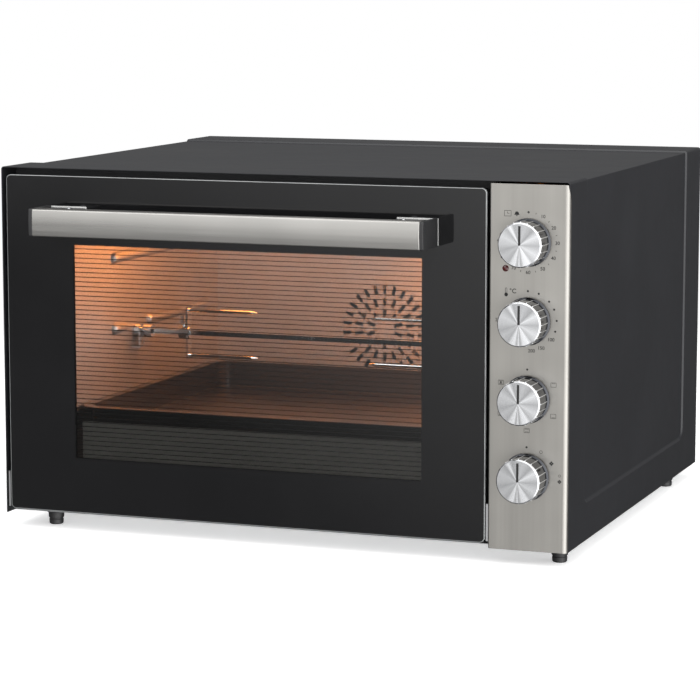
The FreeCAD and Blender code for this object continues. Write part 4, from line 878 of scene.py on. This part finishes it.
class OVEN_OT_control_panel(bpy.types.Operator):
    """Folded steel panel with its printed scales and the pilot lamp"""
    bl_idname = "oven.control_panel"
    bl_label = "Control Panel"
    ink = 0.06 * MM
    stroke_width = 0.4 * MM
    letter_size = 4.7 * MM

    def execute(self, context):
        self.sheet()
        self.radius = context.scene.oven_shape.dial_radius
        self.face = Places.panel_low.y
        pieces = []
        for dial in DIALS:
            pieces += self.scale(dial)
        seated(joined("panel_scales", *pieces), "housing", "panel_steel")
        self.lamp()
        return {"FINISHED"}

    def sheet(self):
        low, high = Places.panel_low, Places.panel_high
        wall, bend, flange, fold = 1.0 * MM, 4.5 * MM, 28.0 * MM, 1.3 * MM
        back = low.y + 5.5 * MM
        outer = [(low.x, low.y + flange)] + arc((low.x + fold, low.y + fold), fold, 180, 270, 6)
        outer += arc((high.x - bend, low.y + bend), bend, 270, 360, 12) + [(high.x, back)]
        inner = [(high.x - wall, back)]
        inner += arc((high.x - bend, low.y + bend), bend - wall, 360, 270, 12)
        inner += arc((low.x + fold, low.y + fold), fold - wall, 270, 180, 6)
        inner += [(low.x + wall, low.y + flange)]
        bm = bmesh.new()
        prism(bm, "z", outer + inner, low.z, high.z)
        panel = from_bmesh("control_panel_sheet", bm, ["panel_steel"])
        softened(panel, 0.3 * MM, 2, 60.0)
        laid_uv(panel, (1.0, 1.0, 0.0), (0.0, 0.0, 1.0))
        seated(panel, "housing", "panel_steel", "control_panel", angle=35.0)

    def mark(self, outline, centre, angle=0.0):
        """A printed shape that faces the front; the angle turns it clockwise."""
        bm = bmesh.new()
        prism(bm, "y", outline, 0.0, self.ink)
        bm.transform(Matrix.Rotation(math.radians(angle), 4, "Y"))
        bm.transform(Matrix.Translation(Vector(centre)))
        return from_bmesh("mark", bm, ["dial_print"])

    def at(self, dial, angle, radius=None):
        """A place on the panel by its clockwise angle from the top of a dial."""
        middle = knob_centre(dial)
        turn = math.radians(angle)
        reach = radius or self.radius
        return Vector((middle.x + reach * math.sin(turn), self.face - self.ink / 2,
                       middle.z + reach * math.cos(turn)))

    def dot(self, dial, angle):
        return self.mark(arc((0, 0), 1.05 * MM, 0, 330, 11), self.at(dial, angle))

    def words(self, dial, angle, words):
        return flat_text(f"{dial}_{words}", words, self.letter_size, self.at(dial, angle),
                         "dial_print", self.ink)

    def dashes(self, dial, angles, radius):
        """Short printed strokes round a dial."""
        bm = bmesh.new()
        block(bm, (-0.25 * MM, radius, -self.ink / 2), (0.25 * MM, radius + 1.6 * MM, self.ink / 2))
        step = math.radians(angles[1] - angles[0])
        place = knob_centre(dial)
        place.y = self.face - self.ink / 2
        return grown("dashes", "ring", bm, "dial_print", count=len(angles),
                     first=-math.radians(angles[0]), step=-step, centre=place, turn=FRONTWARDS)

    def frame_mark(self, centre, wide, tall, line, radius=0.6 * MM):
        """A printed outline of a rounded rectangle."""
        bm = bmesh.new()
        rings = []
        for inset in (0.0, line):
            outline = rounded_outline((-wide / 2 + inset, -tall / 2 + inset),
                                      (wide / 2 - inset, tall / 2 - inset),
                                      (max(radius - inset, 0.05 * MM),) * 4, 4)
            rings.append([[bm.verts.new(Vector(centre) + spot("y", a, b, level))
                           for a, b in outline] for level in (0.0, self.ink)])
        (front_out, back_out), (front_in, back_in) = rings
        count = len(front_out)
        for index in range(count):
            after = (index + 1) % count
            for ring_a, ring_b in ((front_out, front_in), (front_in, back_in),
                                   (back_in, back_out), (back_out, front_out)):
                bm.faces.new((ring_a[index], ring_a[after], ring_b[after], ring_b[index]))
        return from_bmesh("outline", bm, ["dial_print"])

    def stroke(self, centre, start, end):
        """A straight printed line between two places beside a centre."""
        a, b = Vector(start), Vector(end)
        side = Vector((-(b - a).y, (b - a).x)).normalized() * self.stroke_width / 2
        return self.mark([tuple(a - side), tuple(b - side), tuple(b + side), tuple(a + side)],
                         centre)

    def ring(self, centre, radius):
        return self.frame_mark(centre, 2 * radius, 2 * radius, self.stroke_width, radius * 0.999)

    def fan_mark(self, centre, radius):
        """Four rounded blades round a hub."""
        blade = arc((0.0, radius * 0.55), radius * 0.42, 0, 330, 11)
        return [self.mark(blade, centre, turn) for turn in (0, 90, 180, 270)]

    def scale(self, dial):
        """The printed scale of one dial."""
        marks = [self.dot(dial, 0)]
        corner = knob_centre(dial) + Vector((-20.5 * MM, 0.0, 27.0 * MM))
        corner.y = self.face - self.ink / 2
        if dial == "timer":
            marks += [self.words(dial, 30 * step, str(10 * step)) for step in range(1, 10)]
            marks.append(self.frame_mark(corner, 7 * MM, 5.6 * MM, self.stroke_width))
            marks.append(self.stroke(corner, (-0.2 * MM, 1.6 * MM), (-0.2 * MM, 0.0)))
            marks.append(self.stroke(corner, (-0.2 * MM, 0.0), (1.6 * MM, 0.0)))
            bell = corner + Vector((9.0 * MM, 0.0, 0.0))
            marks.append(self.mark(arc((0, 0), 2.0 * MM, 0, 180, 8)
                                   + [(-2.6 * MM, -1.2 * MM), (2.6 * MM, -1.2 * MM)], bell))
            marks.append(self.mark(arc((0, -1.9 * MM), 0.6 * MM, 0, 330, 8), bell))
        elif dial == "thermostat":
            marks += [self.dot(dial, angle) for angle in (22, 47, 65, 87, 108)]
            marks += [self.words(dial, angle, words)
                      for angle, words in ((126, "100"), (152, "150"), (172, "200"), (270, "250"))]
            marks.append(self.frame_mark(corner + Vector((-1 * MM, 0, 1.4 * MM)),
                                         2.0 * MM, 5.6 * MM, self.stroke_width, 1.0 * MM))
            marks.append(self.mark(arc((-1 * MM, -2.4 * MM), 1.8 * MM, 0, 340, 14), corner))
            marks.append(flat_text("degrees", "°C", 6.2 * MM,
                                   corner + Vector((5.6 * MM, 0, 1.0 * MM)), "dial_print",
                                   self.ink))
        elif dial == "function":
            for order, angle in enumerate((60, 120, 180, 240, 300)):
                centre = self.at(dial, angle, self.radius + 1.5 * MM)
                marks.append(self.frame_mark(centre, 5.6 * MM, 4.6 * MM, 0.35 * MM))
                if order != 1:
                    marks.append(self.stroke(centre, (-1.8 * MM, 1.3 * MM), (1.8 * MM, 1.3 * MM)))
                if order != 0:
                    marks.append(self.stroke(centre, (-1.8 * MM, -1.3 * MM), (1.8 * MM, -1.3 * MM)))
                if order > 2:
                    marks += self.fan_mark(centre, 1.1 * MM)
        else:
            marks.append(self.ring(self.at(dial, 30), 1.6 * MM))
            marks += self.fan_mark(self.at(dial, 60), 2.2 * MM)
            marks.append(self.ring(self.at(dial, 85, 33 * MM), 1.3 * MM))
            marks += self.fan_mark(self.at(dial, 95, 33 * MM), 2.0 * MM)
        if dial == "timer":
            marks.append(self.dashes(dial, range(15, 286, 30), self.radius - 1 * MM))
        return marks

    def lamp(self):
        """Domed red lens with its body behind the panel."""
        low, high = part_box("indicator_lamp")
        middle = Vector(((low.x + high.x) / 2, self.face, (low.z + high.z) / 2))
        radius = 3.2 * MM
        dome = [(0.0, low.y - self.face)]
        dome += [(radius * math.sin(math.radians(angle)),
                  (low.y - self.face) * math.cos(math.radians(angle)))
                 for angle in range(15, 91, 15)]
        dome += [(radius, 2.0 * MM), (4.3 * MM, 2.0 * MM), (4.3 * MM, high.y - self.face),
                 (0.0, high.y - self.face)]
        bm = bmesh.new()
        lathe(bm, "y", middle, dome, 40)
        seated(from_bmesh("indicator_lens", bm, ["lamp_red"]), "housing", "lamp_red",
               "indicator_lamp")


class OVEN_OT_knobs(bpy.types.Operator):
    """Four turned knobs with ridged skirts and pointer slots, and their shafts"""
    bl_idname = "oven.knobs"
    bl_label = "Knobs"

    def execute(self, context):
        ridges = context.scene.oven_shape.knob_ridges
        for dial in DIALS:
            self.knob(dial, ridges)
            coat_node(dial + "_shaft", "plain_steel")
            coat_node(dial + "_switch", "switch_plastic")
        return {"FINISHED"}

    def knob(self, dial, ridges):
        low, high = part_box(dial + "_knob")
        centre = knob_centre(dial)
        tall = high.y - low.y
        base, face = 23.0 * MM, 21.2 * MM
        profile = [(0.0, -0.6 * MM), (base - 1 * MM, -0.6 * MM), (base, -0.9 * MM),
                   (base, -2.4 * MM), (base - 0.7 * MM, -3.0 * MM), (face + 0.1 * MM, -3.6 * MM),
                   (face - 0.35 * MM, -(tall - 3.6 * MM)), (face, -(tall - 3.2 * MM)),
                   (face, -(tall - 1.4 * MM)), (face - 1.0 * MM, -(tall - 0.3 * MM)),
                   (face - 1.3 * MM, -(tall - 0.3 * MM))]
        bands = [1, 1, 0, 0, 0, 0, 1, 1, 1, 1]
        rings = 6
        for ring in range(1, rings):
            share = 1.0 - ring / rings
            profile.append(((face - 1.3 * MM) * share, -(tall - 0.3 * MM) - 0.3 * MM * (1 - share)))
            bands.append(2)
        profile.append((0.0, -tall))
        bands.append(2)
        bm = bmesh.new()
        lathe(bm, "y", centre, profile, 96, bands)
        knob = from_bmesh(dial + "_knob_turned", bm, ["knob_skirt", "knob_ring", "knob_face"])
        slot = bmesh.new()
        half, reach = 1.15 * MM, face * 0.85
        outline = rounded_outline((-half, -0.2 * MM), (half, reach), (0.3 * MM,) * 4, 3)
        prism(slot, "y", outline, -tall - 1 * MM, -tall + 0.9 * MM)
        slot.transform(Matrix.Translation(centre))
        cutter = from_bmesh("slot_tool", slot, ["slot_black"])
        carved(knob, cutter)
        self.radial_uv(knob, centre)
        fin = bmesh.new()
        wide = 0.45 * MM
        low_end, high_end = 3.2 * MM, tall - 3.2 * MM
        block(fin, (-wide, face - 1.0 * MM, low_end), (wide, face + 0.8 * MM, high_end))
        fins = grown("fins", "ring", fin, "knob_ring", count=ridges, first=0.0,
                     step=2 * math.pi / ridges, centre=centre, turn=FRONTWARDS)
        softened(fins, 0.25 * MM, 2)
        inlay = bmesh.new()
        prism(inlay, "y", outline, -tall + 0.55 * MM, -tall + 0.8 * MM)
        inlay.transform(Matrix.Translation(centre))
        black = from_bmesh("inlay", inlay, ["slot_black"])
        seated(joined(dial + "_knob_turned", knob, fins, black), dial, "knob_metal", dial + "_knob",
               angle=28.0)

    def radial_uv(self, knob, centre):
        """U runs along the radius and V round the axis."""
        layer = knob.data.uv_layers.new(name="along")
        for face in knob.data.polygons:
            middle = math.atan2(face.center.z - centre.z, face.center.x - centre.x)
            for index in face.loop_indices:
                place = knob.data.vertices[knob.data.loops[index].vertex_index].co
                radius = math.hypot(place.x - centre.x, place.z - centre.z)
                angle = math.atan2(place.z - centre.z, place.x - centre.x)
                while angle - middle > math.pi:
                    angle -= 2 * math.pi
                while middle - angle > math.pi:
                    angle += 2 * math.pi
                if radius < 1e-6:
                    angle = middle
                layer.data[index].uv = (radius * UV_SCALE, angle / (2 * math.pi))


def coat_node(node, finish):
    """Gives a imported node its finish."""
    mesh = frame["nodes"][node].data
    mesh.materials.clear()
    mesh.materials.append(finish_of(finish))


# ---------------------------------------------------------------- door
class OVEN_OT_door(bpy.types.Operator):
    """Door: outer pane, black print with lined window, frame, inner pane and hinges"""
    bl_idname = "oven.door"
    bl_label = "Door"

    def execute(self, context):
        shape = context.scene.oven_shape
        low, high = Places.glass_low, Places.glass_high
        corner = 5.0 * MM
        self.window = ((low.x + shape.window_side, low.z + shape.window_low),
                       (high.x - shape.window_end, high.z - shape.window_high))
        self.pane(low, high, corner)
        self.print_layer(low, high, corner)
        self.lines(shape, high)
        dressed("door_frame", "inner_enamel", "door", 0.3 * MM)
        coat_node("inner_glass", "inner_pane")
        for node in ("glass_clips", "hinge_pins", "hinge_ears", "door_levers", "door_springs"):
            coat_node(node, "plain_steel")
        coat_node("handle_screws", "plain_steel")
        coat_node("door_seal", "seal_fibre")
        return {"FINISHED"}

    def pane(self, low, high, corner):
        """Toughened glass with ground and polished edges; the edges' grey is partly their own colour
        and partly a painted highlight.
        """
        bm = bmesh.new()
        outline = rounded_outline((low.x, low.z), (high.x, high.z), (corner,) * 4, 10)
        faces = prism(bm, "y", outline, low.y, high.y - 0.15 * MM)
        for face in faces[2:]:
            face.material_index = 1
        glass = from_bmesh("door_outer_pane", bm, ["door_pane", "glass_edge", "printed_pane"])
        softened(glass, 0.6 * MM, 3)
        (left, bottom), (right, top) = self.window
        cuts = bmesh.new()
        cuts.from_mesh(glass.data)
        for place, way in (((left, 0, 0), (1, 0, 0)), ((right, 0, 0), (1, 0, 0)),
                           ((0, 0, bottom), (0, 0, 1)), ((0, 0, top), (0, 0, 1))):
            parts = list(cuts.verts) + list(cuts.edges) + list(cuts.faces)
            bmesh.ops.bisect_plane(cuts, geom=parts, plane_co=place, plane_no=way)
        cuts.to_mesh(glass.data)
        cuts.free()
        for face in glass.data.polygons:
            x, z = face.center.x, face.center.z
            clear = left < x < right and bottom < z < top
            flat = abs(face.normal.y) > 0.98
            face.material_index = (0 if clear else 2) if flat else 1
        seated(glass, "door", "printed_glass", "door_glass")

    def print_layer(self, low, high, corner):
        """Black print on the back of the pane, open at the window."""
        (left, bottom), (right, top) = self.window
        inset = 1.2 * MM
        outline = rounded_outline((low.x + inset, low.z + inset), (high.x - inset, high.z - inset),
                                  (corner - inset,) * 4, 8)
        bm = bmesh.new()
        prism(bm, "y", outline, high.y - 0.14 * MM, high.y - 0.03 * MM)
        layer = from_bmesh("door_print_layer", bm, ["door_print"])
        hole = bmesh.new()
        block(hole, (left, high.y - 1 * MM, bottom), (right, high.y + 1 * MM, top))
        carved(layer, from_bmesh("window_tool", hole, ["door_print"]))
        seated(layer, "door", "printed_glass")

    def lines(self, shape, high):
        """Fine printed lines across the window."""
        (left, bottom), (right, top) = self.window
        count = int((top - bottom) / shape.line_pitch)
        bm = bmesh.new()
        block(bm, (left, high.y - 0.14 * MM, 0.0),
              (right, high.y - 0.05 * MM, shape.line_width))
        start = bottom + (top - bottom - (count - 1) * shape.line_pitch - shape.line_width) / 2
        lines = grown("window_line_print", "rows", bm, "window_lines", columns=1, rows=count,
                      start=(0.0, 0.0, start), row_step=(0.0, 0.0, shape.line_pitch))
        seated(lines, "door", "printed_glass")
        film = bmesh.new()
        block(film, (left + 6.5 * MM, high.y - 0.045 * MM, bottom),
              (right, high.y - 0.03 * MM, bottom + shape.band_height))
        band = from_bmesh("window_band_print", film, ["band_film"])
        seated(band, "door", "printed_glass")


class OVEN_OT_handle(bpy.types.Operator):
    """Door handle: crowned steel bar on two moulded ends"""
    bl_idname = "oven.handle"
    bl_label = "Handle"

    def section(self, low, high, crown):
        """Bar section (depth, height): crowned face, small corner radii, flat back."""
        tall = high.z - low.z
        middle = (low.z + high.z) / 2
        radius = (crown * crown + tall * tall / 4) / (2 * crown)
        half = math.degrees(math.asin(tall / 2 / radius))
        front = arc((low.y + radius, middle), radius, 180 - half * 0.93, 180 + half * 0.93, 14)
        shoulder = low.y + crown + 1.2 * MM
        above, below = middle + tall / 2, middle - tall / 2
        return [(high.y, above), (shoulder, above)] + front + [(shoulder, below), (high.y, below)]

    def execute(self, context):
        low, high = Places.bar_low, Places.bar_high
        crown = 0.9 * MM
        bm = bmesh.new()
        prism(bm, "x", self.section(low, high, crown), low.x, high.x)
        bar = from_bmesh("handle_bar_brushed", bm, ["handle_steel"])
        softened(bar, 0.5 * MM, 3, 25.0)
        laid_uv(bar, (0.0, 0.0, 1.0), (1.0, 0.0, 0.0))
        seated(bar, "door", "handle_steel", "handle_bar", angle=30.0)
        for side, way in (("left", -1), ("right", 1)):
            self.end(side, way, low, high, crown)
        return {"FINISHED"}

    def end(self, side, way, bar_low, bar_high, crown):
        """Moulded end: cap over the bar end, post to the glass and a light grey foot against the
        glass, a painted highlight along the end's rear edge.
        """
        node = "handle_end_" + side
        low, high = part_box(node)
        cap = 4.0 * MM
        outer = low.x if way < 0 else high.x
        inner = outer - way * cap
        bm = bmesh.new()
        section = self.section(Vector((0, bar_low.y + 0.1 * MM, bar_low.z)),
                               Vector((0, high.y - 2.5 * MM, bar_high.z)), crown)
        prism(bm, "x", section, min(outer, inner), max(outer, inner))
        post_end = inner - way * (high.x - low.x - cap)
        block(bm, (min(inner, post_end), bar_high.y - 0.2 * MM, low.z + 2 * MM),
              (max(inner, post_end), high.y - 2.5 * MM, high.z - 2 * MM))
        end = from_bmesh(node + "_moulded", bm, ["black_plastic", "plain_steel"])
        softened(end, 0.7 * MM, 3)
        # A light grey foot where the end meets the glass: painted highlight of the end's rear edge.
        foot = bmesh.new()
        block(foot, (min(outer, post_end) + 0.3 * MM, high.y - 2.6 * MM, low.z + 0.6 * MM),
              (max(outer, post_end) - 0.3 * MM, high.y - 0.02 * MM, high.z - 0.6 * MM))
        highlight_foot = from_bmesh("foot", foot, ["foot_trim"])
        softened(highlight_foot, 0.3 * MM, 2)
        screw = bmesh.new()
        place = Vector((post_end + way * 12 * MM, (bar_high.y + high.y) / 2, high.z - 2 * MM))
        lathe(screw, "z", place, [(0.0, -0.5 * MM), (3.0 * MM, -0.5 * MM), (3.0 * MM, 0.5 * MM),
                                  (2.2 * MM, 1.3 * MM), (0.0, 1.6 * MM)], 28)
        head = from_bmesh("head", screw, ["knob_ring"])
        seated(joined(node + "_moulded", end, highlight_foot, head), "door", "black_plastic", node)


# ---------------------------------------------------------------- cavity
class OVEN_OT_cavity(bpy.types.Operator):
    """Cavity sheets, insulation, heating tubes, lamp and probe"""
    bl_idname = "oven.cavity"
    bl_label = "Cavity"

    def execute(self, context):
        for part in ("left_wall", "right_wall", "ceiling", "floor", "back"):
            coat_node("cavity_" + part, "cavity_sheet")
        finishes = {
            "insulation": "mineral_wool", "top_element": "heating_tube",
            "bottom_element": "cold_tube", "lamp_cover": "inner_pane", "lamp_holder": "plain_steel",
            "lamp_bulb": "bulb_glass", "thermostat_probe": "plain_steel",
        }
        for node, finish in finishes.items():
            coat_node(node, finish)
        return {"FINISHED"}


class OVEN_OT_inner_works(bpy.types.Operator):
    """Fan, motors, mains inlet, terminals and wiring"""
    bl_idname = "oven.inner_works"
    bl_label = "Inner Works"

    def execute(self, context):
        finishes = {
            "fan_grille": "cavity_sheet", "fan_housing": "galvanised",
            "fan_wheel": "fan_aluminium", "fan_motor": "motor_case", "spit_motor": "motor_case",
            "drive_socket": "plain_steel", "lead_gland": "black_plastic",
            "terminal_block": "ceramic_block", "wiring_loom": "wire_insulation",
        }
        for node, finish in finishes.items():
            coat_node(node, finish)
        return {"FINISHED"}


# ---------------------------------------------------------------- rotisserie and tray
class OVEN_OT_rotisserie(bpy.types.Operator):
    """Spit, forks, thumbscrews and the spit support"""
    bl_idname = "oven.rotisserie"
    bl_label = "Rotisserie"

    def execute(self, context):
        for node in ("spit_rod", "fork_left", "fork_right", "fork_screws"):
            coat_node(node, "spit_chrome")
        coat_node("spit_support", "plain_steel")
        return {"FINISHED"}


class OVEN_OT_tray(bpy.types.Operator):
    """Enamelled baking tray with rounded edges"""
    bl_idname = "oven.tray"
    bl_label = "Baking Tray"

    def execute(self, context):
        dressed("baking_tray", "tray_enamel", "tray", 0.4 * MM, 3)
        return {"FINISHED"}


# ---------------------------------------------------------------- stage
def studio_world(world):
    """White for the eye; as light, a bright front dim at lower left, a side card and a dim back."""
    world.use_nodes = True
    tree = world.node_tree
    tree.nodes.clear()
    way = add(tree, "ShaderNodeTexCoord").outputs["Generated"]
    parts = add(tree, "ShaderNodeSeparateXYZ", {"Vector": way}).outputs
    slant = add(tree, "ShaderNodeMath", {0: parts["Z"], 1: 1.2, 2: parts["X"]},
                operation="MULTIPLY_ADD").outputs[0]
    front = add(tree, "ShaderNodeMapRange",
                {"Value": slant, "From Min": -0.59, "From Max": -0.38,
                 "To Min": 0.22, "To Max": 1.4}).outputs["Result"]
    card = add(tree, "ShaderNodeMapRange",
               {"Value": parts["X"], "From Min": 0.3, "From Max": 0.8, "To Max": 1.6})
    lift = add(tree, "ShaderNodeMapRange",
               {"Value": parts["X"], "From Min": -0.29, "From Max": -0.10, "To Max": 0.45})
    front = add(tree, "ShaderNodeMath", {0: front, 1: card.outputs["Result"]},
                operation="ADD").outputs[0]
    front = add(tree, "ShaderNodeMath", {0: front, 1: lift.outputs["Result"]},
                operation="ADD").outputs[0]
    back = add(tree, "ShaderNodeMapRange",
               {"Value": parts["Z"], "From Min": -0.1, "From Max": 0.2,
                "To Min": 0.09, "To Max": 0.21}).outputs["Result"]
    share = add(tree, "ShaderNodeMapRange",
                {"Value": parts["Y"], "From Min": 0.35, "From Max": -0.35}).outputs["Result"]
    room = add(tree, "ShaderNodeMix", {"Factor": share, "A": back, "B": front}).outputs["Result"]
    lit = add(tree, "ShaderNodeBackground", {"Color": (1.0, 1.0, 1.0, 1.0), "Strength": room})
    seen = add(tree, "ShaderNodeBackground", {"Color": (1.0, 1.0, 1.0, 1.0), "Strength": 1.0})
    eye = add(tree, "ShaderNodeLightPath").outputs["Is Camera Ray"]
    mixed = add(tree, "ShaderNodeMixShader", {"Fac": eye, 1: lit.outputs[0], 2: seen.outputs[0]})
    add(tree, "ShaderNodeOutputWorld", {"Surface": mixed.outputs[0]})


def soft_light(name, place, target, size, power, tone=(1.0, 1.0, 1.0)):
    """A rectangular soft box turned towards a point."""
    light = bpy.data.lights.new(name, "AREA")
    light.shape = "RECTANGLE"
    light.size, light.size_y = size
    light.energy = power
    light.color = tone
    obj = bpy.data.objects.new(name, light)
    obj.location = place
    obj.rotation_euler = (Vector(target) - Vector(place)).to_track_quat("-Z", "Y").to_euler()
    bpy.context.scene.collection.objects.link(obj)
    return obj


class OVEN_OT_stage(bpy.types.Operator):
    """Pale floor, soft studio light and the camera"""
    bl_idname = "oven.stage"
    bl_label = "Stage"

    def execute(self, context):
        settings = context.scene.oven_stage
        look = context.scene.oven_finish
        scene = context.scene
        scene.world = bpy.data.worlds.new("room")
        studio_world(scene.world)
        scene.view_settings.view_transform = "Standard"
        bm = bmesh.new()
        outline = rounded_outline((-6.0, -6.0), (6.0, 6.0), (2.0,) * 4, 12)
        prism(bm, "z", outline, -0.02, -0.0002)
        tree = new_material("pale_floor")
        cloud = grain(tree, 1.5)
        tone = settings.floor
        eye = add(tree, "ShaderNodeLightPath").outputs["Is Camera Ray"]
        lift = add(tree, "ShaderNodeMath", {0: eye, 1: 0.45}, operation="MULTIPLY").outputs[0]
        matt = principled(tree, {
            "Base Color": tinted(tree, cloud, shade(tone, 0.985), tone),
            "Emission Color": (1.0, 1.0, 1.0, 1.0), "Emission Strength": lift,
            "Roughness": 0.75, "Specular IOR Level": 0.2})
        place = add(tree, "ShaderNodeTexCoord").outputs["Object"]
        away = add(tree, "ShaderNodeVectorMath", {0: place}, operation="LENGTH").outputs["Value"]
        fade = add(tree, "ShaderNodeMapRange", {"Value": away, "From Min": 0.7, "From Max": 1.6})
        clear = add(tree, "ShaderNodeBsdfTransparent").outputs[0]
        end_surface(tree, add(tree, "ShaderNodeMixShader",
                              {"Fac": fade.outputs["Result"], 1: matt, 2: clear}).outputs[0])
        floor = from_bmesh("pale_floor", bm, ["pale_floor"])
        floor.visible_glossy = False
        self.lights(settings, look)
        camera = bpy.data.cameras.new("view")
        camera.lens = settings.lens
        camera.sensor_width = 36.0
        holder = bpy.data.objects.new("view", camera)
        holder.location = settings.camera_place
        holder.rotation_euler = settings.camera_turn
        scene.collection.objects.link(holder)
        scene.camera = holder
        return {"FINISHED"}

    def lights(self, settings, look):
        middle = (0.0, -0.1, 0.18)
        soft_light("key", (-1.3, -2.2, 1.9), middle, (1.6, 1.2), settings.key_power)
        soft_light("top", (0.1, 0.2, 2.4), middle, (2.4, 1.6), settings.top_power)
        soft_light("side", (2.6, -0.4, 1.3), middle, (1.0, 1.4), settings.key_power * 0.25)
        low, high = Places.cavity_low, Places.cavity_high
        warm, power = tuple(look.glow), settings.glow_power
        roof = high.z - 26 * MM
        middle_x = (low.x + high.x) / 2
        inside = (
            ("glow_left", (low.x + 90 * MM, low.y + 170 * MM, roof),
             (low.x, low.y + 170 * MM, low.z + 0.12), (0.06, 0.28), power * 0.68, warm),
            ("glow_right", (high.x - 70 * MM, low.y + 220 * MM, roof),
             (high.x - 0.02, high.y, low.z + 0.16), (0.08, 0.20), power * 1.6, warm),
            ("pale_left", (low.x + 150 * MM, low.y + 14 * MM, low.z + 0.15),
             (low.x, low.y + 70 * MM, low.z + 0.07), (0.14, 0.10), power * 0.2, (0.95, 0.95, 1.0)),
            ("pale_back", (middle_x, low.y + 14 * MM, low.z + 0.21),
             (middle_x - 0.02, high.y, low.z + 0.20), (0.16, 0.08), power * 0.16, (0.97, 0.97, 1.0)),
        )
        lit = bpy.data.collections.new("lit_inside")
        inner = ("cavity_", "baking_tray", "spit_", "fork_", "top_el", "bottom_el", "door_seal",
                 "door_frame", "inner_glass", "thermostat_probe", "lamp_", "drive_", "fan_g")
        for obj in bpy.context.scene.objects:
            if obj.type == "MESH" and obj.name.startswith(inner):
                lit.objects.link(obj)
        for name, place, target, size, watts, tone in inside:
            lamp = soft_light(name, place, target, size, watts, tone)
            lamp.light_linking.receiver_collection = lit
            lamp.visible_glossy = True


PIECES = (
    ("housing", OVEN_OT_housing), ("control_panel", OVEN_OT_control_panel),
    ("knobs", OVEN_OT_knobs), ("door", OVEN_OT_door), ("handle", OVEN_OT_handle),
    ("cavity", OVEN_OT_cavity), ("inner_works", OVEN_OT_inner_works),
    ("rotisserie", OVEN_OT_rotisserie), ("tray", OVEN_OT_tray), ("stage", OVEN_OT_stage),
)
SETTINGS = (("oven_finish", OvenFinishSettings), ("oven_shape", OvenShapeSettings),
            ("oven_stage", OvenStageSettings))


class OVEN_PT_pieces(bpy.types.Panel):
    """Lists the oven's pieces and settings"""
    bl_idname = "OVEN_PT_pieces"
    bl_label = "Countertop Oven"
    bl_space_type = "VIEW_3D"
    bl_region_type = "UI"
    bl_category = "Oven"

    def draw(self, context):
        for title, kind in PIECES:
            self.layout.operator("oven." + title)
        for title, kind in SETTINGS:
            box = self.layout.box()
            for name in kind.__annotations__:
                box.prop(getattr(context.scene, title), name)


def register():
    for title, kind in SETTINGS:
        bpy.utils.register_class(kind)
        setattr(bpy.types.Scene, title, PointerProperty(type=kind))
    for title, kind in PIECES:
        bpy.utils.register_class(kind)
    bpy.utils.register_class(OVEN_PT_pieces)


def unregister():
    bpy.utils.unregister_class(OVEN_PT_pieces)
    for title, kind in reversed(PIECES):
        bpy.utils.unregister_class(kind)
    for title, kind in reversed(SETTINGS):
        delattr(bpy.types.Scene, title)
        bpy.utils.unregister_class(kind)


def main():
    register()
    build_finishes(bpy.context.scene.oven_finish)
    for title, _ in PIECES:
        getattr(bpy.ops.oven, title)()


if __name__ == "__main__":
    main()
